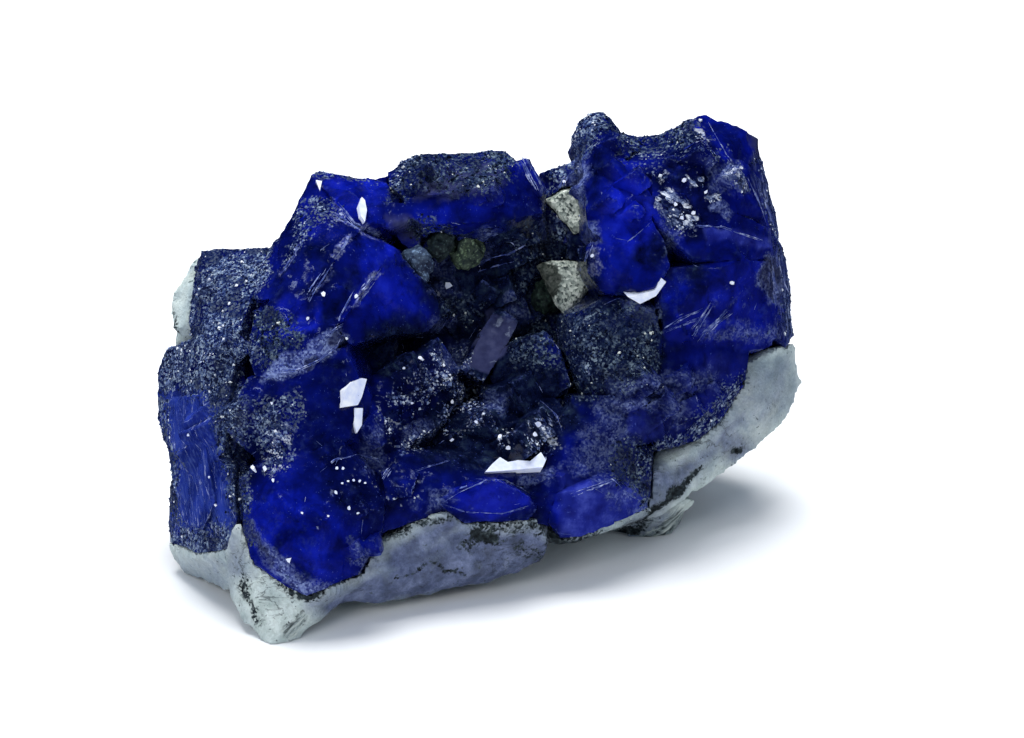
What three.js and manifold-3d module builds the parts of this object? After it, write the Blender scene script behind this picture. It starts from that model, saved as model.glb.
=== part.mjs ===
// A hand specimen of rough sapphire: one intergrown mass of deep blue crystal blocks, seated in the pale
// host rock that it grew on, with a few grains of paler minerals caught in its central hollow.
//
// Units are millimetres, +Z is up and the specimen rests on Z = 0. A point is given in one of two ways:
//   face(across, up, out)   a point of the show face, the side that a collector turns to the front. It leans
//                           back, so "up" and "out" are measured along that lean and square to it.
//   rest(x, y, z)           a point of the specimen as it stands, for its underside and its back.
// Each crystal block is the convex hull of its corners, as a broken crystal is, and the blocks are joined.
import * as THREE from "three";
import { ConvexGeometry } from "three/addons/geometries/ConvexGeometry.js";
import { mergeVertices } from "three/addons/utils/BufferGeometryUtils.js";
import Module from "manifold-3d";

const wasm = await Module();
wasm.setup();
const degrees = THREE.MathUtils.degToRad;

// ---------------------------------------------------------------- driving dimensions
const FACE_LEAN = degrees(25); // how far the show face leans back from upright
const FACE_HEIGHT = 17.7; // height of the show face's middle above the surface that the specimen rests on
const BOX_MIDDLE_Y = 0.81; // where the middle of the whole specimen lies behind the show face's middle
const SET_BACK = 5; // how far a block runs straight back from its face before it narrows to its root
const SET_BACK_FLARE = 1.1; // spread of a block behind its face, which closes it on its neighbours
const SET_BACK_DRAW = 0.95; // how the set-back corners draw in towards the middle of the show face
const SEAT_GAP = 0.3; // clearance of the sapphire in the host rock, along each axis
const GRAIN_GAP = 0.3; // clearance of a mineral grain in its pocket, along each axis
const FLOOR_DEPTH = 30; // thickness of the block that trims the feet flat
const FLOOR_WIDTH = 200;

// ---------------------------------------------------------------- points and solids
const faceToRest = new THREE.Matrix4().makeRotationX(Math.PI / 2 - FACE_LEAN).setPosition(0, 0, FACE_HEIGHT);

const face = (across, up, out) => new THREE.Vector3(across, up, out).applyMatrix4(faceToRest);
const rest = (x, y, z) => new THREE.Vector3(x, y, z);
const onFace = (corners) => corners.map((corner) => face(...corner));
const asRested = (corners) => corners.map((corner) => rest(...corner));
const outOfFace = new THREE.Vector3(0, 0, 1).transformDirection(faceToRest);

// A closed three.js geometry as a solid that can be joined and cut.
function solidOf(geometry) {
  const bare = geometry.clone();
  bare.deleteAttribute("normal");
  bare.deleteAttribute("uv");
  const merged = mergeVertices(bare, 1e-4);
  return new wasm.Manifold(
    new wasm.Mesh({
      numProp: 3,
      vertProperties: new Float32Array(merged.attributes.position.array),
      triVerts: new Uint32Array(merged.index.array),
    }),
  );
}

function geometryOf(solid) {
  const mesh = solid.getMesh();
  const positions = new Float32Array(mesh.numVert * 3);
  for (let i = 0; i < mesh.numVert; i++)
    for (let k = 0; k < 3; k++) positions[i * 3 + k] = mesh.vertProperties[i * mesh.numProp + k];
  const geometry = new THREE.BufferGeometry();
  geometry.setAttribute("position", new THREE.BufferAttribute(positions, 3));
  geometry.setIndex(new THREE.BufferAttribute(new Uint32Array(mesh.triVerts), 1));
  geometry.computeVertexNormals();
  return geometry;
}

const block = (points) => solidOf(new ConvexGeometry(points));
const join = (solids) => solids.reduce((all, one) => all.add(one));

// The outer skin of the largest body alone, which fills what is sealed between blocks and drops loose chips.
const wholeBody = (solid) =>
  solid.decompose().reduce((best, one) => (one.volume() > best.volume() ? one : best));

// The same block with every corner spread by the gap along all three axes, so that each face moves out.
function swollen(points, gap) {
  const spread = [];
  for (const point of points)
    for (const axis of ["x", "y", "z"])
      for (const side of [-gap, gap]) {
        const moved = point.clone();
        moved[axis] += side;
        spread.push(moved);
      }
  return block(spread);
}

// The hidden part of a block of the show face: its corners spread a little, set back and drawn inwards.
function setBack(corners) {
  const mean = (k) => corners.reduce((sum, corner) => sum + corner[k], 0) / corners.length;
  const middle = [mean(0), mean(1)];
  const hidden = (corner, k) => (middle[k] + (corner[k] - middle[k]) * SET_BACK_FLARE) * SET_BACK_DRAW;
  return corners.map((corner) => [hidden(corner, 0), hidden(corner, 1), corner[2] - SET_BACK]);
}

// Where a ray first meets a mesh: the point and the direction that the surface faces there.
function firstHit(mesh, origin, direction) {
  const hit = new THREE.Raycaster(origin, direction).intersectObject(mesh, false)[0];
  return hit ? { point: hit.point, outward: hit.face.normal.clone() } : null;
}
const meshOf = (solid) => new THREE.Mesh(geometryOf(solid), new THREE.MeshBasicMaterial());

// Repeatable random numbers from 0 to 1, so that every run makes the same stone.
function seeded(seed) {
  let state = seed;
  return () => {
    state = (state + 0x6d2b79f5) | 0;
    let t = Math.imul(state ^ (state >>> 15), 1 | state);
    t = (t + Math.imul(t ^ (t >>> 7), 61 | t)) ^ t;
    return ((t ^ (t >>> 14)) >>> 0) / 4294967296;
  };
}
const random = seeded(41);
const between = ([low, high]) => low + (high - low) * random();
const mostlySmall = ([low, high]) => low + (high - low) * random() ** 2;

// A turn about a random axis, by the given angle at most.
function smallTurn(most) {
  const axis = new THREE.Vector3(random() - 0.5, random() - 0.5, random() - 0.5).normalize();
  return new THREE.Quaternion().setFromAxisAngle(axis, (random() * 2 - 1) * most);
}

// ---------------------------------------------------------------- small repeated forms
// A druse crystal: a near-cubic block. Neighbours in the mass share one setting and are turned a little.
const DRUSE_SETTING = new THREE.Quaternion().setFromEuler(
  new THREE.Euler(degrees(92), degrees(-18), degrees(38)),
);
const DRUSE_TURN = degrees(24);
const CRYSTAL_SUNK = 0.12; // how far its middle lies below the surface, as a share of its width
const CRYSTAL_STRETCH = [1.25, 0.9, 0.75];

function crystalCorners({ point, outward }, width) {
  const turn = smallTurn(DRUSE_TURN).multiply(DRUSE_SETTING);
  const middle = point.clone().addScaledVector(outward, -width * CRYSTAL_SUNK);
  const half = CRYSTAL_STRETCH.map((share) => (width / 2) * share * between([0.8, 1.2]));
  const corners = [];
  for (const x of [-half[0], half[0]])
    for (const y of [-half[1], half[1]])
      for (const z of [-half[2], half[2]])
        corners.push(new THREE.Vector3(x, y, z).applyQuaternion(turn).add(middle));
  return corners;
}

// A lump or ledge of broken rock: the hull of a few points spread round a ball that is flat to the surface.
const LUMP_POINTS = 10;
const LUMP_STRETCH = [1.25, 0.9, 0.42];
const LUMP_SUNK = 0.05; // how far its middle lies below the surface, as a share of its width
const LUMP_TILT = degrees(22);
const GOLDEN_TURN = Math.PI * (3 - Math.sqrt(5));

function lump({ point, outward }, width) {
  const upright = new THREE.Quaternion().setFromUnitVectors(new THREE.Vector3(0, 0, 1), outward);
  const turn = smallTurn(LUMP_TILT).multiply(upright);
  const middle = point.clone().addScaledVector(outward, -width * LUMP_SUNK);
  const start = random() * 2 * Math.PI;
  const corners = [];
  for (let i = 0; i < LUMP_POINTS; i++) {
    const z = 1 - (2 * i + 1) / LUMP_POINTS;
    const ring = Math.sqrt(1 - z * z);
    const angle = start + i * GOLDEN_TURN;
    const corner = new THREE.Vector3(ring * Math.cos(angle), ring * Math.sin(angle), z);
    corner.multiply(new THREE.Vector3(...LUMP_STRETCH)).multiplyScalar((width / 2) * between([0.85, 1.15]));
    corners.push(corner.applyQuaternion(turn).add(middle));
  }
  return block(corners);
}

// ---------------------------------------------------------------- the sapphire's large blocks
// The inner mass that the blocks share: a left, a right and a deeper middle body.
const CORES = [
  [
    [-25, 9, -4], [-26, -3, 2], [-24, -14, 7], [-15, -17, 9], [-11, -13, 8], [-9, -2, 6], [-8, 12, 3],
    [-14, 17, -1], [-20, 13, -3], [-24, 6, -12], [-12, 17, -13], [-22, -9, -4], [-8, -12, -3], [-8, 6, -16],
  ],
  [
    [9, 20, -5], [26, 20, -10], [28, 8, -12], [24, 0, -9], [16, -8, -4], [8, -11, -1], [7, -2, -3],
    [8, 8, -4], [26, 18, -16], [10, 18, -16], [24, 3, -17], [10, -6, -9],
  ],
  [
    [-10, 16, -7], [8, 18, -8], [9, -4, -8], [1, -12, -3], [-10, -14, 1], [-10, 0, -7], [-10, 12, -17],
    [8, 14, -18], [6, -8, -11], [-8, -8, -11],
  ],
];

// The left shoulder: a rough flank that turns away from the show face.
const LEFT_SHOULDER = [
  // top of the shoulder
  [
    [-28.2, 13, -2.5], [-22, 13.3, 0], [-21.2, 11.8, 2], [-23, 8, 5], [-24.4, 3.5, 7.5], [-26.7, 3.5, 5.5],
    [-29.2, 4.6, 1], [-29.4, 6.2, 0], [-29, 9, -1.5], [-28.5, 11.8, -2.8],
  ],
  // its middle
  [
    [-31.7, 3, -2], [-28.2, 4.5, 4], [-24.2, 3.5, 7.8], [-25, -2, 9.5], [-25.4, -7, 10.5], [-27.7, -9, 8.5],
    [-30.4, -8.5, 2.5], [-31.9, -6, -1], [-32.5, -4, -2], [-32.5, 1, -3],
  ],
  // its foot
  [
    [-30.4, -8.5, 2.5], [-26.7, -7.2, 9], [-24.5, -9, 11.5], [-24.1, -14, 12], [-25, -16.7, 11],
    [-28.2, -17.2, 6], [-31.2, -16.2, 0], [-31.3, -14, -1], [-31, -12, 0], [-31.4, -10.9, -0.5],
  ],
  // a rib of fibrous sapphire down its edge
  [
    [-31.4, -2, 2], [-28.6, -1.5, 6.2], [-27.4, -6, 9], [-26.4, -12, 10], [-27.7, -15, 8], [-30, -14, 4],
    [-31.2, -7.5, 2.5],
  ],
];

// The ribbed block: a cap, three parallel ribs that run down to the left, and a frosted end face.
const RIBBED_BLOCK = [
  // cap
  [
    [-17.1, 20.4, 1], [-16.2, 20.9, 0.5], [-13.7, 20.3, 1], [-12.2, 19.9, 0.6], [-9.7, 19.8, -0.5],
    [-9, 18, 2], [-8.7, 16.4, 3.2], [-11.7, 15.1, 6], [-14.2, 16.2, 6], [-16, 16.8, 5], [-18.2, 17.3, 3],
    [-19.2, 15.8, 1.5],
  ],
  // facet on the cap
  [[-16, 19.4, 3], [-13.2, 19, 4], [-11.6, 17.6, 5.2], [-11.6, 15.4, 6.4], [-13, 15.4, 6.4], [-14.7, 18, 4.6]],
  // left rib
  [
    [-19.2, 15.8, 3.2], [-18.2, 17.2, 4], [-16, 16.6, 6.2], [-17.9, 13.5, 8.2], [-21, 8, 9.4], [-22.6, 8, 7.6],
    [-22.4, 10, 5.5], [-21.2, 13, 3.6],
  ],
  // middle rib
  [
    [-16, 16.6, 6], [-12, 14.9, 7.2], [-13.5, 13.2, 9.4], [-17, 8.3, 11], [-19.9, 4.7, 11], [-22, 6.2, 9.6],
    [-20.6, 8.4, 9.6], [-17.8, 13.6, 8.4],
  ],
  // right rib
  [
    [-12, 14.9, 6.6], [-8.4, 12.9, 5.4], [-10, 11.2, 8.6], [-13.7, 5.8, 11.4], [-15.2, 5.2, 11.4],
    [-19.8, 4.6, 10.8], [-17, 8.2, 10.8], [-13.4, 13.3, 9.2],
  ],
  // shoulder that falls away into the hollow
  [
    [-8.4, 12.9, 5.2], [-5.7, 10, 4.2], [-3.2, 7, 2.2], [-5.2, 5, 3.6], [-9.7, 4.2, 8], [-13, 3.5, 11],
    [-14.2, 5.2, 11], [-10.2, 11.4, 8.4],
  ],
  // frosted end face
  [
    [-22.4, 6.8, 9], [-19.8, 4.6, 11.4], [-16.4, 4.4, 11.8], [-14.5, 5.4, 11.6], [-13.7, 4, 11.2],
    [-16, 1.4, 12], [-19.7, 0.2, 12.2], [-22.4, 0.3, 11.4], [-23.2, 3, 9.6],
  ],
];

// The lower left: a granular plate, and below it the glassy lobe that stands out furthest.
const LOWER_LEFT = [
  // granular plate
  [
    [-23.2, 0.2, 11], [-19.7, 0.1, 12], [-16, 1.2, 12], [-13.4, 3.4, 11], [-12, 0, 11], [-13, -6, 12.5],
    [-18.2, -7.8, 13.2], [-22, -8.2, 12.2], [-24.2, -6, 11.2], [-24.6, -2, 10],
  ],
  // lobe
  [
    [-23.9, -9.8, 12], [-22, -8, 12.8], [-18.2, -7.5, 13.4], [-13.7, -6, 12.6], [-11.6, -9, 13.6],
    [-9.8, -12, 13], [-9.8, -14.8, 12.6], [-11, -16.5, 13], [-12.1, -19.2, 13.4], [-14.6, -20.2, 14],
    [-17.2, -21.2, 14.4], [-19.7, -20, 14.4], [-22.4, -18.2, 13.4], [-23.5, -15, 12.4], [-19.2, -12.5, 16.2],
    [-15.7, -13.5, 16.4], [-16, -17.5, 16], [-20.2, -16.5, 15.4],
  ],
];

// The lower middle, from the hollow's floor down to the bright ledge over the host rock.
const LOWER_MIDDLE = [
  // blue knuckle
  [
    [-13.7, -0.2, 8], [-8.2, 0.2, 6.5], [-6.2, 1.4, 5], [-3.2, 0.8, 3.6], [-2.2, -1.5, 3.4], [-4.2, -4.5, 5.6],
    [-8, -7.2, 8.4], [-11.2, -8.2, 10.4], [-13.7, -6.2, 11.6],
  ],
  // druse floor
  [
    [-4.2, -3.8, 3.4], [-1.2, -2.2, 1.6], [1.8, -1.6, 1], [7.8, -2, 2], [9.4, -6, 4.2], [6.5, -7.8, 5.2],
    [1.8, -8.2, 5.2], [-3.2, -7.6, 6.4],
  ],
  // lower step
  [
    [-12.2, -8.2, 11], [-8.2, -6.8, 9], [-3, -7, 7], [1.8, -8.2, 6], [6.6, -8.8, 5.2], [5, -10.2, 6],
    [1.8, -9.9, 8], [-2.7, -11, 9.6], [-5.2, -12.8, 10.6], [-10.2, -15.2, 12], [-11.6, -12, 13],
  ],
  // small clear facet
  [[-10, -9, 12], [-8, -8.2, 10.8], [-6.2, -9.2, 10.6], [-7, -11.4, 12], [-9.2, -11.8, 12.6]],
  // bright lens-shaped ledge
  [
    [-4.5, -12, 10.4], [-2.2, -10.7, 10.4], [0.3, -10, 9.8], [1.8, -9.9, 9.6], [4.8, -11.4, 8],
    [5.5, -12.8, 7.2], [4.6, -13.8, 6.8], [1.8, -14, 8], [-1.7, -14.2, 9.2], [-3, -13.2, 10],
  ],
];

// The top middle: a crusted block over a smooth blue band.
const TOP_MIDDLE = [
  // crusted block
  [
    [-9.4, 20.8, -2], [-8.2, 22, -2.6], [-5.7, 22.7, -3], [-2.7, 22.2, -3], [-0.2, 22.4, -3.4],
    [2.1, 23.1, -3.6], [3.3, 22, -1.6], [2.3, 19.4, 1], [-0.2, 18.4, 2], [-5.2, 17.6, 2.2], [-7.7, 18.1, 2],
    [-9.2, 19.4, 0],
  ],
  // swell of its crust
  [
    [-7.8, 21, -0.6], [-5.2, 22, -1], [-2, 21.4, -0.6], [1.6, 22.2, -2], [1.8, 20.4, 0.6], [-1.2, 19, 2.4],
    [-5.2, 18.4, 2.8], [-7.8, 19.2, 1.8],
  ],
  // smooth band
  [
    [-7.8, 18, 2.4], [-5.2, 17.5, 2.8], [-0.2, 18.3, 2.6], [3.3, 21.8, -0.8], [5.2, 20.8, -2], [6.4, 18.6, -2.4],
    [6.1, 16.6, -1], [1.8, 15.8, 2.2], [-3.2, 15.6, 3], [-6.2, 15.4, 3.2], [-7.4, 16.4, 3],
  ],
  // overhang below the band
  [
    [-6.2, 15.4, 3], [-3.2, 15.7, 3], [1.8, 15.9, 2.2], [6.1, 16.7, -1], [6.6, 14.2, -4], [3.8, 11.8, -5],
    [-2.2, 13, -3], [-5.7, 13.6, -0.6],
  ],
  // thin blade at its right end
  [[3.5, 22, -1.4], [4.2, 22.2, -1.2], [4.8, 22.1, -1.8], [6.6, 18.8, -2], [5.9, 18.4, -1], [4.8, 19.8, -0.6]],
  // grey lens at its left end
  [
    [-11.4, 16.8, 4.2], [-9.8, 17.9, 3.4], [-8.2, 17.7, 3], [-6.9, 17.1, 2.4], [-7.4, 15.8, 3], [-9.2, 15.1, 4.2],
    [-11, 15.7, 4.8],
  ],
];

// The central hollow: its deep floor, the ridge that crosses it and the cleft on its right.
const HOLLOW = [
  // deep floor
  [
    [-6.7, 14, -2.6], [-1.2, 14.6, -4.4], [5.8, 15.4, -6], [9, 14.5, -7], [9.3, 11.8, -7], [6.8, 8, -6],
    [4, 5, -5], [-2, 3.5, -4], [-5.2, 7, -2],
  ],
  // ridge
  [
    [2, 3, 0], [4.2, 4.2, 1], [6.4, 4.8, 1.4], [7.8, 3, 1.8], [9, -0.6, 2], [6.6, -2.2, 1], [2.3, -1.8, 0.4],
    [0.8, 0, 0],
  ],
  // peak behind the cleft
  [[5.9, 20.8, -4.6], [7.8, 21.6, -5], [9.8, 22.3, -5], [10.2, 20.8, -3.4], [8.6, 19.2, -3], [6.5, 18.3, -4]],
  // wall of the cleft
  [[6.3, 18.4, -5], [10.3, 20, -5], [10.8, 14.5, -5.5], [9.3, 11.8, -6.5], [7, 13, -6]],
  // bridge between the cap and the crusted block
  [[-10.4, 18.4, 0.5], [-8, 20, -1.5], [-8.4, 17, 1.5], [-10.6, 17, 2]],
];

// A flat violet-grey tablet that leans across the middle of the hollow.
const TABLET = [
  [1.5, 7.2, -2.4], [3.8, 5.9, -2.2], [0.2, -0.3, 1.6], [-2.3, 1.1, 1.4],
  [1.3, 6.9, -4.6], [3.6, 5.6, -4.4], [0, -0.6, -2], [-2.5, 0.8, -2],
];

// The upper right: a knob, the tall smooth crystal, the saddle, the sharp peak and the plates behind them.
const UPPER_RIGHT = [
  // knob
  [
    [9.4, 24, -4], [9.8, 26, -4.4], [10.8, 26.8, -4.6], [12.2, 27, -4.6], [13.3, 26.2, -4], [14, 25.2, -3.6],
    [13.6, 23.4, -1.8], [11.8, 23.2, -1.2], [10.2, 22.8, -2], [11, 25.2, -2], [12.4, 25.2, -2],
  ],
  // upper face of the tall crystal
  [
    [9.8, 22.7, -2], [11.8, 23.8, -1], [13.5, 23.4, -1], [13.8, 21, 0.6], [16, 20, 1.2], [17, 18, 1.4],
    [16.8, 15.8, 2], [14.6, 13.6, 3], [11.8, 14, 3], [10.6, 15.2, 2], [10.1, 19, 0.6], [11.8, 19, 2],
    [14.3, 17.5, 2.6],
  ],
  // its lower face
  [
    [10.6, 13.6, 2], [11.8, 14.1, 2.8], [14.6, 13.6, 3.2], [17, 15.8, 2.2], [18.2, 13.8, 2.2],
    [18.8, 11.4, 2.6], [17.3, 9.4, 2.8], [14.8, 8.6, 3], [11.8, 9, 2], [10.3, 11.2, 1], [12.8, 11.5, 4],
  ],
  // saddle
  [
    [13.4, 25.4, -4.4], [15.8, 24.6, -4.6], [17.6, 24.6, -4.6], [19, 25.4, -5], [20.3, 26.3, -5.2],
    [21.8, 26.2, -4.6], [23, 23, -1.4], [21, 20.8, -0.2], [16.8, 20.6, 0.6], [14, 20.8, 0.6],
  ],
  // peak
  [
    [21.5, 26.5, -5], [22.3, 26.8, -5.8], [25.3, 25.7, -6.4], [26.6, 25.1, -6.8], [28, 24.4, -8.4],
    [28.1, 22.8, -8.6], [26.8, 21.6, -5.4], [24, 22.3, -2.6], [22, 23.9, -2.8],
  ],
  // plateau
  [
    [17, 20.6, 0.6], [20.8, 21.2, 0.2], [23.2, 22.8, -1.4], [26.8, 21.8, -4.2], [28.8, 19.2, -7.4],
    [28.4, 16.4, -5.4], [25.3, 16.7, -1.4], [21.8, 15.4, 0.2], [18.6, 14.4, 1.4], [17, 16.4, 1.8],
  ],
  // right edge
  [
    [28, 23, -8.6], [28.8, 19.5, -9.6], [29.7, 16.5, -10.4], [30, 14.4, -10.6], [29, 13.8, -6.6],
    [27.4, 16.5, -4.6], [26.8, 21, -5.6],
  ],
];

// The middle right.
const MIDDLE_RIGHT = [
  // violet band
  [
    [18.6, 14.4, 1.4], [21.8, 15.6, 0.4], [25.3, 16.7, -1.2], [28.8, 15.4, -4.8], [29.9, 14.2, -8.4],
    [29.4, 12.4, -6.4], [25.8, 12, -1.8], [21, 12.2, 0.8],
  ],
  // broad glassy face
  [
    [18.2, 11.2, 1.4], [20.8, 8.8, 1], [23.8, 11.2, -0.2], [26, 12, -1.8], [28.8, 11.8, -5], [28.6, 9, -5.4],
    [29.8, 5.8, -7.2], [29.3, 3.4, -7.4], [26.8, 2.8, -5], [21.8, 3, -1.2], [18.4, 4.2, 1], [17.6, 7.8, 1.6],
  ],
  // frosted rim
  [
    [30, 14.2, -9.6], [30.8, 12.4, -11.2], [30.9, 9, -11.8], [31.6, 4.6, -12.4], [30.8, 3.2, -10],
    [29.6, 4.8, -8], [28.6, 9, -6.6], [28.6, 11.8, -6.2],
  ],
];
const GREY_BOULDER = [
  [
    [8.4, 6.4, 0.8], [11.8, 7.9, 1.8], [14.6, 8.2, 2.2], [17.3, 7, 1.6], [18.1, 4, 1.4], [17.4, 0, 1.8],
    [13.8, -1.6, 3], [10, -1.2, 2.4], [8.4, 2.8, 1.6], [10.8, 5, 3.6], [15.3, 5, 3.4], [15, 1, 3.8],
    [11.4, 1.2, 3.8],
  ],
];

// The lower right, which steps down to the host rock.
const LOWER_RIGHT = [
  // navy step
  [
    [18, 4.2, 1], [21.8, 3.2, -1], [27, 2.8, -5], [26.6, 0, -5.6], [23.3, -2, -3], [19.8, -2.5, -0.5],
    [17.3, -1.2, 1.6],
  ],
  // streaked edge
  [
    [17.2, -1, 1.6], [20.8, -1.6, -0.8], [23.4, -1.8, -2.6], [26.4, -0.5, -6], [23.8, -4.4, -5.4],
    [21.8, -6, -4.4], [17.8, -7.2, -1], [15.8, -5.2, 1],
  ],
  // upper dull plate
  [
    [9, -1.5, 3], [13.8, -1.5, 3.2], [17.8, -1.5, 1.8], [18.4, -6, 0], [14.8, -6.6, 2], [9.3, -6.2, 4],
    [7.6, -4, 3.6],
  ],
  // lower dull plate
  [
    [7, -6.6, 4.4], [9.3, -6, 4.4], [14.6, -6.4, 2.2], [17, -7.8, 0.4], [16.8, -12, -0.8], [13.6, -11, 2],
    [10.8, -10.8, 4.4], [7.4, -12, 5.4], [5.8, -10, 5.6],
  ],
  // step between the bright ledge and the violet crystal
  [[4.2, -9.6, 6.4], [8, -9.6, 5.6], [8, -14.8, 4.8], [5.4, -14.2, 5.8], [4.2, -12.4, 6.6], [4.4, -14, 4.6]],
  // violet crystal
  [
    [7.4, -11.4, 5.8], [10.8, -10.5, 6], [13.4, -10, 4.4], [16.4, -11.8, 1], [16.6, -12.8, 0], [14, -13.7, 1.6],
    [11.8, -14.3, 2.8], [10, -15.5, 4.4], [7.8, -15.7, 5.2], [6.6, -14.2, 5.8],
  ],
];

// Each part of the show face with the hidden inner points that its blocks grow from.
const SHOW_FACE = [
  { blocks: LEFT_SHOULDER, root: [[-22, 3, -10], [-20, -9, -4]] },
  { blocks: RIBBED_BLOCK, root: [[-13, 14, -12], [-14, 4, -10]] },
  { blocks: LOWER_LEFT, root: [[-14, -10, -2], [-4, -9, -5]] },
  { blocks: LOWER_MIDDLE, root: [[-14, -10, -2], [-4, -9, -5]] },
  { blocks: TOP_MIDDLE, root: [[-6, 12, -14], [4, 15, -15]] },
  { blocks: HOLLOW, root: [[0, 4, -14], [6, -4, -12]] },
  { blocks: UPPER_RIGHT, root: [[16, 14, -14], [15, 4, -12]] },
  { blocks: MIDDLE_RIGHT, root: [[24, 14, -17], [22, 4, -15]] },
  { blocks: GREY_BOULDER, root: [[16, 14, -14], [15, 4, -12]] },
  { blocks: LOWER_RIGHT, root: [[12, -5, -9], [18, 0, -11]] },
];

// The crystals that carry the mass over its top and down to the host rock behind, as rested.
const BACK_RIDGE = [
  // behind the left shoulder
  [[-29, 7, 27], [-22, 8, 28.4], [-27, 13, 24], [-20, 15, 24], [-28, 11, 17], [-21, 16, 18], [-16, 6, 22]],
  // behind the cap
  [
    [-18.4, 9, 32.2], [-12, 9, 35.4], [-8, 11, 35.4], [-18, 15, 28.5], [-9, 18.5, 29], [-14, 20, 21],
    [-20, 14, 22], [-6, 19, 22], [-10, 8, 24],
  ],
  // behind the crusted block
  [
    [-8, 12, 35.8], [3, 12.5, 36.2], [6, 15, 32.6], [-8, 18, 30], [3, 20, 31], [-6, 22.5, 25], [7, 22, 25.4],
    [-4, 10, 22], [4, 12, 22],
  ],
  // behind the saddle
  [
    [10.5, 15, 38.2], [16, 16, 37], [22, 17.5, 38.4], [8.6, 19.5, 32], [22, 22.5, 33], [11, 24, 27],
    [23, 24.2, 26], [10, 12, 24], [20, 12, 26],
  ],
  // behind the peak
  [
    [21, 18, 38], [27.4, 18.5, 36], [28, 17.5, 32], [22, 22.5, 35], [27.6, 21.5, 31], [24, 24, 25],
    [29.2, 20, 23], [22, 12, 26],
  ],
];

const sapphireBlocks = [
  ...CORES.map(onFace),
  ...SHOW_FACE.flatMap(({ blocks, root }) =>
    blocks.map((corners) => onFace([...corners, ...setBack(corners), ...root])),
  ),
  ...BACK_RIDGE.map(asRested),
  onFace(TABLET),
];
const bareMass = wholeBody(join(sapphireBlocks.map(block)));

// ---------------------------------------------------------------- the host rock
// What shows of it round the sapphire on the show face. Each piece also reaches a point inside the slab.
const ROCK_FRONT = [
  // below the left shoulder
  [
    [-31.2, -16, 0], [-28.2, -16.8, 6], [-25.4, -16.5, 10], [-25, -19.5, 8.5], [-25.2, -20.8, 6.5],
    [-27.7, -20.1, 3], [-29.7, -19.4, 0], [-31, -18, -1],
  ],
  // the wedge below the lobe, whose tip is the foremost point
  [
    [-25, -14, 11.5], [-23.7, -15, 12.5], [-22.4, -18.2, 13], [-18.2, -21.2, 14], [-14.7, -20.4, 13.5],
    [-13.7, -22, 11], [-17.2, -24.5, 12.5], [-19.2, -26, 13.5], [-20.7, -26.3, 14], [-23.2, -24.2, 12],
    [-24.7, -22, 10], [-25.4, -19.5, 9],
  ],
  // the band under the steps and the bright ledge
  [
    [-14.7, -20.2, 12.6], [-12.2, -19, 12.2], [-10.6, -16.5, 11.6], [-3.7, -12.8, 9.6], [-2.6, -13.1, 9.6],
    [4.8, -13.7, 6.4], [6.6, -16, 4.6], [5.8, -18.2, 3], [-0.2, -20.5, 4.5], [-8.2, -21.8, 7],
    [-13.7, -22.3, 10], [-9.2, -19.8, 10.6], [-5.2, -18, 9.4], [-0.2, -19, 7],
  ],
  // below the violet crystal
  [
    [6.3, -15.8, 4], [7.8, -15.8, 4.4], [11.8, -14.4, 2], [16.3, -12.8, -0.6], [17.3, -9, -1.4],
    [20.8, -7, -3.6], [23.3, -6, -5], [21.8, -11, -4.8], [19.4, -12.5, -4.4], [17.3, -14, -4.2],
    [15.8, -14.4, -3.4], [11.8, -15.2, -1.5], [7.8, -16.5, 1],
  ],
  // the band up the right-hand end
  [
    [26.6, 1.4, -7.2], [29.4, 3, -8.6], [31.7, 3.5, -12.6], [32.5, -0.3, -14], [31.8, -1.2, -13.4],
    [31.1, -4, -12.4], [29.3, -5.1, -11], [25.8, -8.3, -8.4], [21.8, -11.2, -5.6], [20.4, -9, -3.4],
    [22, -6, -4.6], [26.6, -0.6, -6.8], [27.8, -2, -7.2],
  ],
  // a crumbling spur under it
  [[16.8, -15.5, -7], [18, -14.2, -5.5], [20.8, -12, -5.5], [21.6, -12.2, -6.5], [19, -15, -7.5], [17.3, -16.5, -9]],
  // the rim beside the top of the left shoulder
  [
    [-30.9, 9, -5], [-29.2, 11.8, -6], [-28.3, 12.5, -6], [-28.9, 9, -3.2], [-29.6, 5.5, -2], [-31, 5, -3],
    [-31.4, 6.5, -4.4],
  ],
];
const ROCK_ROOT = [[-8, 4, 6], [8, 8, 7]]; // as rested

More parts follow.
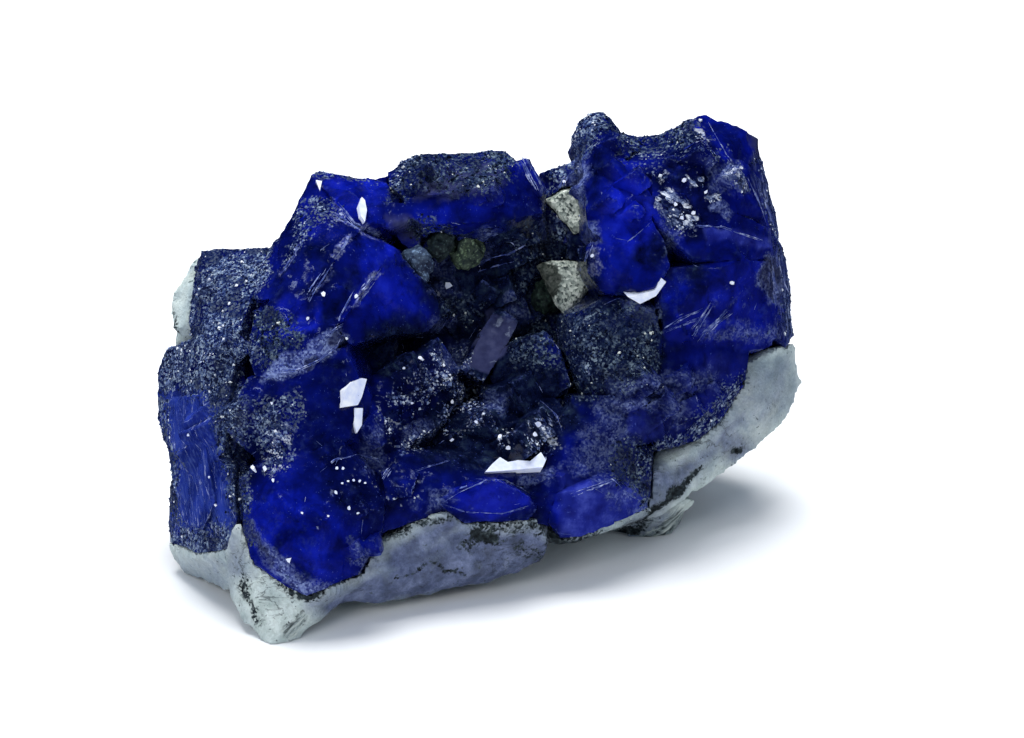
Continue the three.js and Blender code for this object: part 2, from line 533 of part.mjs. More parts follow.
// The slab under the sapphire, the wall behind it and the ledges that it broke along, as rested.
const ROCK_BODY = [
  // slab, left
  [
    [-27, -8, 2], [-20, -19, 2], [-10, -14, 2.2], [-8, 10, 2], [-22, 12, 2], [-28, -6, 8], [-29, 2, 12],
    [-24, 15, 13], [-12, 21, 10], [-10, 20, 4], [-22, -16, 5.4], [-8, -12, 5],
  ],
  // slab, middle
  [
    [-14, 20, 2], [-8, -10, 2.2], [6, -5, 2.2], [12, 10, 2], [10, 22, 2.5], [-2, 23.5, 6], [-12, 21, 12],
    [6, 24, 13], [14, 21, 12], [0, -4, 6],
  ],
  // slab, right
  [
    [6, -5, 2.4], [18, 1, 2], [25, 8, 5], [27.5, 16, 7], [16, 22, 2.5], [8, 20, 2], [28.5, 9, 11],
    [29, 17, 15], [20, 23, 14], [12, 23.4, 10], [18, 0, 6.5],
  ],
  // wall, left
  [
    [-26, 12, 10], [-12, 20, 10], [-25, 11, 20], [-19, 15, 25], [-10, 18.6, 27], [-6, 21, 18], [-20, 4, 18],
    [-6, 8, 20],
  ],
  // wall, middle
  [
    [-10, 19, 10], [6, 24, 11], [10, 21.6, 26], [0, 21.6, 28.5], [-10, 18.8, 27.5], [-6, 22.5, 18], [0, 8, 20],
    [8, 9, 20],
  ],
  // wall, right
  [
    [6, 23, 11], [20, 23, 12], [29, 17, 14], [29.3, 16, 22], [25, 21.5, 27], [12, 23, 28.5], [8, 22.4, 20],
    [8, 9, 20], [24, 10, 20],
  ],
  // two ledges across the wall
  [[-19, 15, 8], [-4, 23.5, 4.6], [3, 24.6, 8], [-15, 20, 15.5], [-5, 23, 14], [-8, 14, 9]],
  [[7, 23, 7.5], [19, 24.4, 9.5], [25, 21, 16], [13, 24.8, 17.6], [9, 22, 13], [14, 14, 12]],
  // shoulder under the left flank
  [
    [-29.5, -7, 3], [-30.6, -2, 9], [-30.8, 4, 15], [-30.6, 7.6, 21.4], [-28.8, 11, 23.6], [-23, 15, 22],
    [-25, 13, 6], [-20, -10, 3], [-18, 0, 16], [-28.5, 2, 4],
  ],
];

// The lumps that reach the surface below: the specimen stands on these.
const ROCK_FEET = [
  [[-21.5, -24, -1], [-18, -23.5, -1], [-18.5, -20.5, -1], [-22, -21, -1], [-23, -18, 5], [-16, -18, 5]],
  [[-29, -9, -1], [-26, -10, -1], [-25, -5, -1], [-28.5, -4, -1], [-30, -6, 5], [-23, -6, 5]],
  [[15, 0, -1], [18.5, 0, -1], [20, 4, -1], [15, 5, -1], [13, 2, 5], [22, 6, 6]],
  [[-18, 10, -1], [-8, 9, -1], [-6, 18, -1], [-17, 17, -1], [-21, 12, 5], [-4, 20, 6], [-14, 6, 5]],
  [[6, 12, -1], [17, 10, -1], [18, 18, -1], [7, 19, -1], [3, 14, 5], [22, 16, 6], [12, 6, 5]],
];

const bareRock = join([
  ...ROCK_FRONT.map((corners) => block([...onFace(corners), ...asRested(ROCK_ROOT)])),
  ...ROCK_BODY.map((corners) => block(asRested(corners))),
  ...ROCK_FEET.map((corners) => block(asRested(corners))),
]);

// Lumps and ledges of the broken back: rays fall on it level, from a fan of bearings behind it.
const LUMPS = { count: 18, width: [4, 14], bearing: [60, 140], height: [3, 26], spread: 19, from: 80, depth: 6 };
const bareRockMesh = meshOf(bareRock);
const lumps = [];
for (let i = 0; i < LUMPS.count; i++) {
  const bearing = degrees(between(LUMPS.bearing));
  const inward = new THREE.Vector3(-Math.cos(bearing), -Math.sin(bearing), 0);
  const sideways = new THREE.Vector3(-inward.y, inward.x, 0);
  const start = rest(0, LUMPS.depth, between(LUMPS.height))
    .addScaledVector(sideways, between([-LUMPS.spread, LUMPS.spread]))
    .addScaledVector(inward, -LUMPS.from);
  const seat = firstHit(bareRockMesh, start, inward);
  if (seat) lumps.push(lump(seat, mostlySmall(LUMPS.width)));
}

const floor = new THREE.BoxGeometry(FLOOR_WIDTH, FLOOR_WIDTH, FLOOR_DEPTH).translate(0, 0, -FLOOR_DEPTH / 2);
const seatInRock = join(sapphireBlocks.map((points) => swollen(points, SEAT_GAP)));
const matrix = wholeBody(bareRock.add(join(lumps)).subtract(seatInRock).subtract(solidOf(floor)));

// ---------------------------------------------------------------- grains caught in the hollow
// A pebble is a coarse ball, given by its middle and its three half sizes on the show face.
const PEBBLES = {
  green_pebble: { middle: [-1.4, 12.8, -1.9], half: [2, 1.95, 1.5] },
  green_pebble_left: { middle: [-4.3, 13.6, -0.4], half: [1.5, 1.95, 1.3] },
  grey_pebble: { middle: [-6.5, 11.5, 2.4], half: [1.8, 1.95, 1.5] },
  dark_pebble: { middle: [6.3, 8.4, -5.2], half: [1.5, 1.9, 1.4] },
};
const POCKET_SPREAD = 1.26; // an icosahedron of this radius encloses a ball of radius 1

// A feldspar grain is given by the outline of its broken front and the level of its middle.
const FELDSPAR = {
  feldspar_grain: {
    outline: [[5.6, 11.4], [7, 11.9], [9.5, 11.8], [10.8, 9.8], [10.1, 8.2], [8.4, 6.3], [7.2, 8]],
    level: -3.7,
  },
  feldspar_sliver: {
    outline: [[6.5, 18], [8.3, 19.1], [9.8, 19.4], [10.2, 15.1], [9.3, 14.8], [8.4, 15.8]],
    level: -3.9,
  },
};
const FELDSPAR_LAYERS = [[0.9, 0.8], [0.3, 1], [-1.6, 0.9]]; // how far out, and the share of the outline there

function ball(detail, { middle, half }, spread, gap) {
  const shape = new THREE.IcosahedronGeometry(1, detail);
  shape.scale(...half.map((size) => (size + gap) * spread));
  return solidOf(shape.translate(...middle).applyMatrix4(faceToRest));
}

function grainCorners({ outline, level }) {
  const mean = (k) => outline.reduce((sum, corner) => sum + corner[k], 0) / outline.length;
  const [across, up] = [mean(0), mean(1)];
  return FELDSPAR_LAYERS.flatMap(([out, share]) =>
    outline.map(([a, u]) => face(across + (a - across) * share, up + (u - up) * share, level + out)),
  );
}

const grains = {};
const pockets = {};
for (const [name, pebble] of Object.entries(PEBBLES)) {
  grains[name] = ball(1, pebble, 1, 0);
  pockets[name] = ball(0, pebble, POCKET_SPREAD, GRAIN_GAP);
}
for (const [name, grain] of Object.entries(FELDSPAR)) {
  grains[name] = block(grainCorners(grain));
  pockets[name] = swollen(grainCorners(grain), GRAIN_GAP);
}
grains.feldspar_grain = wholeBody(grains.feldspar_grain.subtract(pockets.dark_pebble));
grains.green_pebble = wholeBody(grains.green_pebble.subtract(pockets.green_pebble_left));

// ---------------------------------------------------------------- druse, and the finished sapphire
// Each patch of druse is an ellipse of the show face: across, up, half width and half height, with how many
// crystals it holds and the widths of the smallest and the largest.
const DRUSE_PATCHES = [
  { patch: [-2.7, -3, 9, 5.4], count: 17, width: [1.6, 4.4] }, // floor of the hollow
  { patch: [4.6, 9.5, 4.6, 5], count: 7, width: [1.4, 3] }, // cleft
  { patch: [17, 20, 8, 4.2], count: 11, width: [1.6, 4] }, // knob, saddle and plateau
  { patch: [19, -2.4, 7, 3.4], count: 8, width: [1.6, 3.4] }, // streaked edge
  { patch: [-27.6, 0, 2.4, 11], count: 5, width: [1.8, 3.4] }, // left shoulder
  { patch: [-3, 19.6, 5, 1.6], count: 6, width: [1.6, 3.2] }, // crusted block
  { patch: [-21.6, -5, 3, 4], count: 3, width: [1.6, 3] }, // granular plate
  { patch: [-13, -13, 6, 4], count: 4, width: [1.6, 3.2] }, // foot of the lobe and the lower step
];
const RIDGE_DRUSE = { count: 9, width: [2, 6], across: [-27, 26], height: [39, 53], from: 60, fall: -0.45 };
const FACE_CLEAR = 60; // rays start this far out of the show face

const bareMassMesh = meshOf(bareMass);
const druse = [];
for (const { patch, count, width } of DRUSE_PATCHES)
  for (let i = 0; i < count; i++) {
    const [across, up, halfWidth, halfHeight] = patch;
    const reach = Math.sqrt(random());
    const angle = random() * 2 * Math.PI;
    const start = face(
      across + halfWidth * reach * Math.cos(angle),
      up + halfHeight * reach * Math.sin(angle),
      FACE_CLEAR,
    );
    const seat = firstHit(bareMassMesh, start, outOfFace.clone().negate());
    if (seat) druse.push(crystalCorners(seat, mostlySmall(width)));
  }
for (let i = 0; i < RIDGE_DRUSE.count; i++) {
  const start = rest(between(RIDGE_DRUSE.across), RIDGE_DRUSE.from, between(RIDGE_DRUSE.height));
  const seat = firstHit(bareMassMesh, start, new THREE.Vector3(0, -1, RIDGE_DRUSE.fall).normalize());
  if (seat) druse.push(crystalCorners(seat, mostlySmall(RIDGE_DRUSE.width)));
}

// Only the crystals that stand clear of the rock grow. The pockets of the grains are cut last.
const clearOfRock = (corners) => swollen(corners, SEAT_GAP).intersect(matrix).isEmpty();
const crystalMass = bareMass.add(join(druse.filter(clearOfRock).map(block)));
const sapphire = wholeBody(crystalMass.subtract(join(Object.values(pockets))));

// ---------------------------------------------------------------- the named pieces
const FINISHES = {
  sapphire: { color: 0x0a1282, roughness: 0.2, metalness: 0 },
  matrix: { color: 0x9eacad, roughness: 0.8, metalness: 0 },
  feldspar: { color: 0x9fa99f, roughness: 0.6, metalness: 0 },
  pebble: { color: 0x2a3a34, roughness: 0.5, metalness: 0 },
};
const finishOf = (name) => FINISHES[Object.keys(FINISHES).find((finish) => name.includes(finish))];

const specimen = new THREE.Group();
for (const [name, solid] of Object.entries({ sapphire, matrix, ...grains })) {
  const mesh = new THREE.Mesh(geometryOf(solid), new THREE.MeshStandardMaterial(finishOf(name)));
  mesh.name = name;
  specimen.add(mesh);
}
specimen.position.y = -BOX_MIDDLE_Y;

export default specimen;
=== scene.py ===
import math

import bpy
import numpy as np
from mathutils import Matrix, Vector, noise
from mathutils.bvhtree import BVHTree


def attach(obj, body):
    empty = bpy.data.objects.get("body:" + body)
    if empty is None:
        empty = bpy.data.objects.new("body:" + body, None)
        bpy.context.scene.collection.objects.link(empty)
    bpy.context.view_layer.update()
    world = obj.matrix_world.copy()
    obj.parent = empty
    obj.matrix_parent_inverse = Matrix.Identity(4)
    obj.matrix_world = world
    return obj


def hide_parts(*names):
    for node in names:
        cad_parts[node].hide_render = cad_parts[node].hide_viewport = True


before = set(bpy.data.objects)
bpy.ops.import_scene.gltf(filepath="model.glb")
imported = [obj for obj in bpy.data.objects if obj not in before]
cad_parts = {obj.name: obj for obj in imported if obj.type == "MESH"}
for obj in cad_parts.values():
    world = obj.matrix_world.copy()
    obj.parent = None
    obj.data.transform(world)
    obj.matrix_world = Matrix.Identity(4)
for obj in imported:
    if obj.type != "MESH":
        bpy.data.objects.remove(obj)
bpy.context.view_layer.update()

# ---------------------------------------------------------------- viewpoint
# The show face is the broken front of the specimen, which leans back from upright. It is looked at square on,
# through a long lens. Across, up and out are measured on that face, in millimetres from its middle.
MM = 0.001
FACE_LEAN = math.radians(25)
FACE_HEIGHT = 17.7  # of its middle above the ground
FACE_FORWARD = 0.81  # of its middle in front of the specimen's own
EYE = (3.0, 1.1, 853.0)  # across, up and out
LENS_MM = 300
SENSOR_MM = 36
SEEN_M = (0.01, 10)  # nearest and farthest that the camera sees


def from_face(across, up, out=0.0):
    """A point of the show face, in the specimen's own frame, in millimetres."""
    return Vector((
        across,
        up * math.sin(FACE_LEAN) - out * math.cos(FACE_LEAN) - FACE_FORWARD,
        up * math.cos(FACE_LEAN) + out * math.sin(FACE_LEAN) + FACE_HEIGHT,
    ))


def way(across, up, out):
    """A direction given on the show face, in the specimen's own frame."""
    return from_face(across, up, out) - from_face(0, 0, 0)


def to_face(points):
    """Rows of points in the specimen's frame as rows of across, up and out."""
    back, rise = points[:, 1] + FACE_FORWARD, points[:, 2] - FACE_HEIGHT
    lean = np.array([math.sin(FACE_LEAN), math.cos(FACE_LEAN)])
    return np.column_stack([points[:, 0], back * lean[0] + rise * lean[1], rise * lean[0] - back * lean[1]])


def on_sight_line(points):
    """Across and up of the spot where each point's line of sight crosses the show face."""
    face = to_face(points)
    reach = EYE[2] / (EYE[2] - face[:, 2:])
    return (face[:, :2] - EYE[:2]) * reach + EYE[:2]


OUTWARD = np.array(way(0, 0, 1))
UPWARD = np.array(way(0, 1, 0))
eye = from_face(*EYE)

camera = bpy.data.objects.new("viewpoint", bpy.data.cameras.new("viewpoint"))
camera.data.lens = LENS_MM
camera.data.sensor_width = SENSOR_MM
camera.data.clip_start, camera.data.clip_end = SEEN_M
camera.location = eye * MM
camera.rotation_euler = Vector(-OUTWARD).to_track_quat("-Z", "Y").to_euler()
bpy.context.scene.collection.objects.link(camera)
bpy.context.scene.camera = camera

# ---------------------------------------------------------------- host rock
# The pale feldspar-rich rock that the sapphire grew in, broken off under and behind it. Its fracture is rough
# and dull, with grime in its joints and a few fine dark cracks, and shade painted on its downward front band,
# under the sapphire's overhang and in its hollows. It stands on flats ground on its feet.
ROCK_MESH = (8, 0.62)  # how finely it is resurfaced: see stone_surface
ROCK_EASING = (2, 0.4)  # rounds of easing that take the corners off, and how far each goes
ROCK_NEAR = 24  # so many rounds leave all but its edges and joints
ROCK_SEAM = 2.25  # how near the sapphire the rock's seam with it begins
ROCK_SWELL = 0.4  # how far the rock swells along that seam, to meet the sapphire
ROCK_FOOT = 0.8  # its roughness grows from nothing on the ground to the full at this height
ROCK_WANDER = 0.5  # how far the edge of a patch strays from its outline
ROCK_BACK_PATCH = 7.0  # size of the patches on the sides and back
BENDS = (2.2, 0.9)  # lengths of the broad and the fine bends in which a patch's edge strays

# Patches of the rock's front: the tint, its strength, how soft its edge is, and its outline in across and up.
ROCK_PATCHES = [
    # painted shade: blue-grey shade painted on the downward front band and under the sapphire's overhang
    ("painted_shade", 1, 1.3, [
        (-17.4, -22.6), (-14.4, -20.6), (-10.4, -18.6), (-5.2, -15.6), (-2.6, -14.2), (0.4, -14.2),
        (6.3, -14.6), (7.8, -16.6), (13.8, -16.2), (17.4, -13.6), (19.6, -14), (17.8, -18), (7.8, -19.8),
        (-0.2, -21.4), (-8.2, -22.6), (-15.2, -24.2)]),
    ("painted_shade", 0.95, 1.2, [(-13.6, -19.4), (-10, -17), (-5, -13.8), (-2.6, -12.8), (-1, -14.6), (-7, -19.4)]),
    ("painted_shade", 0.8, 0.8, [
        (16.2, -8.6), (18.6, -8.6), (22.6, -6.6), (25.6, -3.4), (27.4, -2), (26.4, -4.6), (22.4, -8.4),
        (18.8, -12.4), (16.4, -14.6), (13, -15.4), (16, -13)]),
    ("painted_shade", 0.5, 1.2, [
        (-32, -17.6), (-26, -17.8), (-24.4, -20), (-26, -22.6), (-29.6, -21.8), (-32.4, -19.6)]),
    ("painted_shade", 0.5, 0.9, [(-32, -19.6), (-27.6, -19.4), (-25, -21), (-26, -22.6), (-29.6, -21.8)]),
    ("painted_shade", 0.46, 1.4, [
        (18, -12), (22, -9.6), (28.6, -4.6), (31.6, -1.6), (30.8, 2), (27.4, 1.6), (24, -3), (20, -8)]),
    ("painted_shade", 0.6, 0.7, [(-26, -15), (-24, -15), (-22.8, -19.8), (-25.4, -19.8)]),
    ("painted_shade", 0.75, 1, [(23, -5.4), (26, -5.2), (29.4, -7.2), (28.4, -8.8), (24.6, -8.4)]),
    # grime and shade: dark grime and cracks, and shade painted along the rock's rim under the sapphire's
    # overhang
    ("grime_and_shade", 0.8, 0.4, [
        (6.6, -14.4), (10.8, -15.4), (14.4, -14.6), (16.6, -13.4), (16.6, -14.8), (12.6, -17), (8, -17.6),
        (6.4, -16.4)]),
    ("grime_and_shade", 0.66, 0.4, [
        (-9.8, -15), (-6, -13.6), (-2, -13), (2, -13.8), (6.4, -14.2), (6.4, -15.4), (2, -15), (-2, -14.3),
        (-6, -14.8), (-9.6, -16.2)]),
    ("grime_and_shade", 1, 0.4, [(-1.2, -14.8), (0, -14.5), (1.5, -14.9), (1.8, -16), (0.2, -16.4), (-1, -15.8)]),
    ("grime_and_shade", 0.6, 0.5, [(-2.9, -15.8), (-0.8, -15.4), (0, -16.6), (-1.4, -17.4), (-2.6, -17.2)]),
    ("grime_and_shade", 0.9, 0.16, [(-9.2, -20), (-5, -18.2), (-5, -18.4), (-9.2, -20.3)]),
    ("grime_and_shade", 0.9, 0.16, [
        (-5, -18.2), (-3.2, -18.9), (-1.2, -19.4), (-1.2, -19.7), (-3.4, -19.2), (-5.1, -18.5)]),
    ("grime_and_shade", 0.9, 0.25, [
        (16.2, -13.2), (19, -10.8), (22.2, -8.2), (22.4, -8.6), (19.6, -11.6), (16.6, -14)]),
    ("grime_and_shade", 1, 0.45, [
        (-20.2, -19.6), (-18.4, -20.8), (-16, -20.4), (-15, -19.6), (-15.6, -21.4), (-17.2, -22.3),
        (-18.8, -21.8)]),
    ("grime_and_shade", 0.5, 0.6, [(3, -16), (6, -16.4), (7.6, -17.4), (5.2, -18.4), (2.8, -17.4)]),
    ("grime_and_shade", 0.75, 0.5, [(-23.8, -19), (-23, -21.5), (-21.4, -24.4), (-22.4, -24.2), (-24.3, -21.4)]),
    ("flake", 0.8, 0.5, [
        (14.6, -16), (17, -14.6), (19.4, -12.8), (21, -13.4), (20.8, -15), (17.8, -18), (15.4, -17.6)]),
    ("chalk", 0.5, 0.4, [
        (18.4, -12.6), (21.4, -10), (25.6, -7), (28.6, -4.8), (30.6, -3.4), (27.4, -7.6), (23.4, -11),
        (20.2, -14)]),
    ("flake", 0.9, 0.4, [(-20.4, -25), (-18.2, -23.2), (-17.4, -23.6), (-19.4, -26.2)]),
    ("grime_and_shade", 0.9, 0.25, [(-20.2, -24.5), (-18, -22.9), (-17.7, -23.3), (-19.6, -24.9)]),
    ("grime_and_shade", 1, 0.2, [(24.8, -6.8), (25.5, -6.5), (26.4, -6.6), (25.9, -7.1), (25.2, -7.2)]),
    ("grime_and_shade", 0.75, 0.4, [
        (-32, 10.4), (-31, 12.6), (-29.6, 12.8), (-30.2, 10.8), (-30.8, 8), (-30.6, 4.4), (-32, 4.4)]),
    ("chalk", 1, 1.5, [(-25, -19.4), (-21, -21), (-17.6, -23), (-17.4, -26.6), (-22, -27), (-25.4, -22.4)]),
    ("chalk", 0.35, 0.6, [
        (-14, -20), (-10.4, -18.2), (-5.2, -14.6), (-3, -13), (-4, -12.6), (-6.4, -14.2), (-10.8, -17.4),
        (-14.4, -19.4)]),
]
# how much of each tint there is at the sides and back, from -1 to 1 in slow noise
ROCK_ELSEWHERE = {"painted_shade": -0.15, "grime_and_shade": -0.38, "flake": -0.42, "chalk": -0.1}
FLAKE_RUN = (0.72, 0.69, 0.0)  # the way that the flakes run, in across, up and out


def stone_surface(node, depth, share):
    """A CAD node's surface in millimetres, resurfaced evenly with its facets and edges kept crisp. Two to the
    power of the depth, times the share, is how many faces its longest side takes."""
    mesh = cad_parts[node].data.copy()
    mesh.transform(Matrix.Scale(1 / MM, 4))
    body = bpy.data.objects.new(node + "_resurfaced", mesh)
    bpy.context.scene.collection.objects.link(body)
    weld = body.modifiers.new("weld", "WELD")
    weld.merge_threshold = 1e-3
    resurface = body.modifiers.new("resurface", "REMESH")
    resurface.mode, resurface.octree_depth, resurface.scale = "SHARP", depth, share
    resurface.use_remove_disconnected = False
    even = bpy.data.meshes.new_from_object(body.evaluated_get(bpy.context.evaluated_depsgraph_get()))
    bpy.data.objects.remove(body)
    bpy.data.meshes.remove(mesh)
    return even


def surface_tree(mesh):
    """A mesh in metres as a surface that can be searched in millimetres."""
    return BVHTree.FromPolygons([v.co / MM for v in mesh.vertices], [p.vertices for p in mesh.polygons])


def nearness(points, node, reach):
    """1 where a CAD node touches the points, falling to 0 where it is as far away as the reach."""
    surface = surface_tree(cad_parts[node].data)
    apart = [surface.find_nearest(row, reach)[3] for row in points.tolist()]
    return 1 - np.array([reach if a is None else a for a in apart]) / reach


def points_of(mesh):
    rows = np.empty(len(mesh.vertices) * 3)
    mesh.vertices.foreach_get("co", rows)
    return rows.reshape(-1, 3)


def normals_of(mesh):
    rows = np.empty(len(mesh.vertices) * 3, np.float32)
    mesh.vertex_normals.foreach_get("vector", rows)
    return rows.reshape(-1, 3).astype(float)


def move_points(mesh, points):
    mesh.vertices.foreach_set("co", points.astype(np.float32).ravel())
    mesh.update()


def eased(mesh, points, rounds, share=0.5):
    """The points, drawn towards the mean of their neighbours so many times."""
    edges = np.empty(len(mesh.edges) * 2, np.int64)
    mesh.edges.foreach_get("vertices", edges)
    a, b = edges.reshape(-1, 2).T
    count = np.bincount(np.concatenate([a, b]), minlength=len(points))[:, None]
    for _ in range(rounds):
        total = np.zeros_like(points)
        for k in range(points.shape[1]):
            total[:, k] = np.bincount(a, points[b, k], len(points))
            total[:, k] += np.bincount(b, points[a, k], len(points))
        points = points + share * (total / count - points)
    return points


def proud(mesh, points, rounds):
    """How far each point stands out of the surface that so many rounds of easing leave."""
    return np.einsum("ij,ij->i", points - eased(mesh, points, rounds), normals_of(mesh))


def facing_front(mesh, spread):
    """1 where the surface faces the front, falling to 0 towards the back, later for a larger spread."""
    return np.clip(normals_of(mesh) @ OUTWARD * 4 + spread, 0, 1)


def roughness_of(points, size, seed, stretch=(1, 1, 1)):
    """Soft noise, about -1 to 1, with lumps of that size in millimetres."""
    scaled = points / (size * np.array(stretch)) + seed * 17.3
    return np.array([noise.noise(row) for row in scaled.tolist()])


def inside(outline, spots, softness):
    """1 well inside an outline and 0 well outside it, one half on it, changing over the softness each way."""
    x, y = spots[:, 0], spots[:, 1]
    within = np.zeros(len(spots), bool)
    apart = np.full(len(spots), np.inf)
    for (ax, ay), (bx, by) in zip(outline, outline[1:] + outline[:1]):
        wide, rise = bx - ax, by - ay
        if rise:
            within ^= ((ay > y) != (by > y)) & (x < wide * (y - ay) / rise + ax)
        along = np.clip(((x - ax) * wide + (y - ay) * rise) / (wide ** 2 + rise ** 2), 0, 1)
        apart = np.minimum(apart, np.hypot(x - ax - along * wide, y - ay - along * rise))
    return np.clip(0.5 + np.where(within, apart, -apart) / (2 * softness), 0, 1)


def patch_marks(patches, names, strayed):
    """How strongly each named patch marks each point, from the point's place on the show face."""
    marks = {name: np.zeros(len(strayed)) for name in names}
    for name, strength, softness, outline in patches:
        marks[name] = np.maximum(marks[name], strength * inside(outline, strayed, softness))
    return marks


def strayed_sight(points, seed, amount):
    """Where each point is seen on the show face, shifted by noise so that outlines wander."""
    wander = np.column_stack([roughness_of(points, BENDS[0], seed + k) for k in (0, 1)])
    wander += 0.5 * np.column_stack([roughness_of(points, BENDS[1], seed + k) for k in (2, 3)])
    return on_sight_line(points) + amount * wander


def mark(mesh, name, values):
    """Keeps a value at each point of the mesh, for its material to read."""
    mesh.attributes.new(name, "FLOAT", "POINT").data.foreach_set("value", values.astype(np.float32))


def set_in_place(name, mesh, material, slot, *nodes, crisp=32):
    """Makes the visible piece from its mesh in millimetres, in place of its CAD nodes. Edges that turn by
    more than crisp, in degrees, stay sharp."""
    mesh.transform(Matrix.Scale(MM, 4))
    mesh.name = name
    mesh.materials.clear()
    mesh.materials.append(material)
    mesh.polygons.foreach_set("use_smooth", [True] * len(mesh.polygons))
    mesh.set_sharp_from_angle(angle=math.radians(crisp))
    piece = bpy.data.objects.new(name, mesh)
    bpy.context.scene.collection.objects.link(piece)
    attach(piece, "root")
    if nodes:
        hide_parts(*nodes)
    return piece


def srgb(red, green, blue):
    """A colour given in screen values of 0 to 255, as a shader takes it."""
    screen = np.array([red, green, blue]) / 255
    return (*np.where(screen <= 0.04045, screen / 12.92, ((screen + 0.055) / 1.055) ** 2.4), 1.0)


def new_material(name):
    material = bpy.data.materials.new(name)
    material.use_nodes = True
    return material, material.node_tree, material.node_tree.nodes["Principled BSDF"]


def feed(node, feeds):
    """Feeds a shader node's inputs, each with a value or with another node's output."""
    for name, value in feeds.items():
        if isinstance(value, bpy.types.NodeSocket):
            node.id_data.links.new(value, node.inputs[name])
        else:
            node.inputs[name].default_value = value


def place(tree, kind, feeds=None, **settings):
    """One shader node with its settings and its feeds."""
    node = tree.nodes.new(kind)
    for name, value in settings.items():
        setattr(node, name, value)
    feed(node, feeds or {})
    return node


def maths(operation, a, b, clamp=False):
    """A sum of two values, at least one of them a node's output."""
    tree = (a if isinstance(a, bpy.types.NodeSocket) else b).id_data
    return place(tree, "ShaderNodeMath", {0: a, 1: b}, operation=operation, use_clamp=clamp).outputs[0]


def times(a, b):
    return maths("MULTIPLY", a, b)


def plus(a, b):
    return maths("ADD", a, b)


def less(a, b):
    return maths("SUBTRACT", a, b)


def beyond(value, limit):
    """1 where the value is more than the limit, and 0 elsewhere."""
    return maths("GREATER_THAN", value, limit)


def between(value, low, high, most=1.0):
    """0 where the value is at low, rising to the most where it is at high."""
    return place(value.id_data, "ShaderNodeMapRange", {0: value, 1: low, 2: high, 3: 0.0, 4: most}).outputs[0]


def overlaid(mask, under, over):
    """The colour under, with the colour over laid on it where the mask is 1."""
    return place(mask.id_data, "ShaderNodeMix", {0: mask, 6: under, 7: over}, data_type="RGBA").outputs[2]


def graded(value, *stops):
    """The value turned into a colour by stops, each a place and its screen values of red, green and blue."""
    ramp = place(value.id_data, "ShaderNodeValToRGB", {0: value})
    while len(ramp.color_ramp.elements) < len(stops):
        ramp.color_ramp.elements.new(0.5)
    for element, (position, *screen) in zip(ramp.color_ramp.elements, stops):
        element.position, element.color = position, srgb(*screen)
    return ramp.outputs[0]


def millimetres(tree, stretch=(1, 1, 1)):
    """The place of each spot of the surface, in millimetres."""
    place_of = place(tree, "ShaderNodeTexCoord").outputs["Object"]
    scale = [1 / (MM * s) for s in stretch]
    return place(tree, "ShaderNodeMapping", {"Vector": place_of, "Scale": scale}).outputs[0]


def marked(tree, name):
    return place(tree, "ShaderNodeAttribute", attribute_name=name).outputs["Fac"]


def soft_noise(spots, size_mm, detail=3.0, roughness=0.55, distortion=0.0):
    return place(spots.id_data, "ShaderNodeTexNoise", {
        "Vector": spots, "Scale": 1 / size_mm, "Detail": detail, "Roughness": roughness,
        "Distortion": distortion}).outputs[0]


def grain_cells(spots, count):
    """Small grains, so many to a millimetre: how pale each is, and how far a spot is from its middle."""
    cells = place(spots.id_data, "ShaderNodeTexVoronoi", {"Vector": spots, "Scale": count, "Randomness": 1.0})
    paleness = place(spots.id_data, "ShaderNodeSeparateColor", {0: cells.outputs["Color"]}).outputs[0]
    return paleness, cells.outputs["Distance"]


def axes_of(run):
    """Three directions square to each other, the first along a run given in across, up and out."""
    along = way(*run).normalized()
    side = along.orthogonal().normalized()
    return along, side, along.cross(side)


def drawn_out(spots, run, stretch):
    """Places in millimetres, squeezed along a run, so that noise is drawn out along it."""
    along, side, back = axes_of(run)
    parts = [place(spots.id_data, "ShaderNodeVectorMath", {0: spots, 1: axis}, operation="DOT_PRODUCT")
             for axis in (along / stretch, side, back)]
    feeds = {k: part.outputs["Value"] for k, part in enumerate(parts)}
    return place(spots.id_data, "ShaderNodeCombineXYZ", feeds).outputs[0]


def bumped(shader, height, deep, strength=0.5):
    """Gives the finish a fine relief from the height, so deep in metres."""
    bump = place(shader.id_data, "ShaderNodeBump", {"Height": height, "Strength": strength, "Distance": deep})
    feed(shader, {"Normal": bump.outputs[0]})


def new_group(name, takes, gives):
    group = bpy.data.node_groups.new(name, "ShaderNodeTree")
    for labels, in_out in ((takes, "INPUT"), (gives, "OUTPUT")):
        for label, kind in labels.items():
            group.interface.new_socket(label, in_out=in_out, socket_type="NodeSocket" + kind)
    return group, place(group, "NodeGroupInput").outputs, place(group, "NodeGroupOutput")


# Ragged patch: turns a soft mark into a patch with a broken edge, made up of whole small grains.
ragged_patch, takes, gives = new_group("ragged patch", {
    "Mark": "Float", "Spots": "Vector", "Size": "Float", "Torn": "Float", "Grainy": "Float", "Grain": "Float",
    "Softness": "Float"}, {"Patch": "Float"})
cloud = place(ragged_patch, "ShaderNodeTexNoise", {
    "Vector": takes["Spots"], "Scale": maths("DIVIDE", 1.0, takes["Size"]), "Detail": 4.0, "Roughness": 0.62})
torn = times(less(cloud.outputs[0], 0.5), takes["Torn"])
grain = times(less(takes["Grain"], 0.5), takes["Grainy"])
level = plus(plus(takes["Mark"], torn), grain)
patch = maths("ADD", maths("DIVIDE", less(level, 0.5), takes["Softness"]), 0.5, clamp=True)
any_mark = maths("MULTIPLY", takes["Mark"], 6.0, clamp=True)
feed(gives, {"Patch": times(patch, any_mark)})


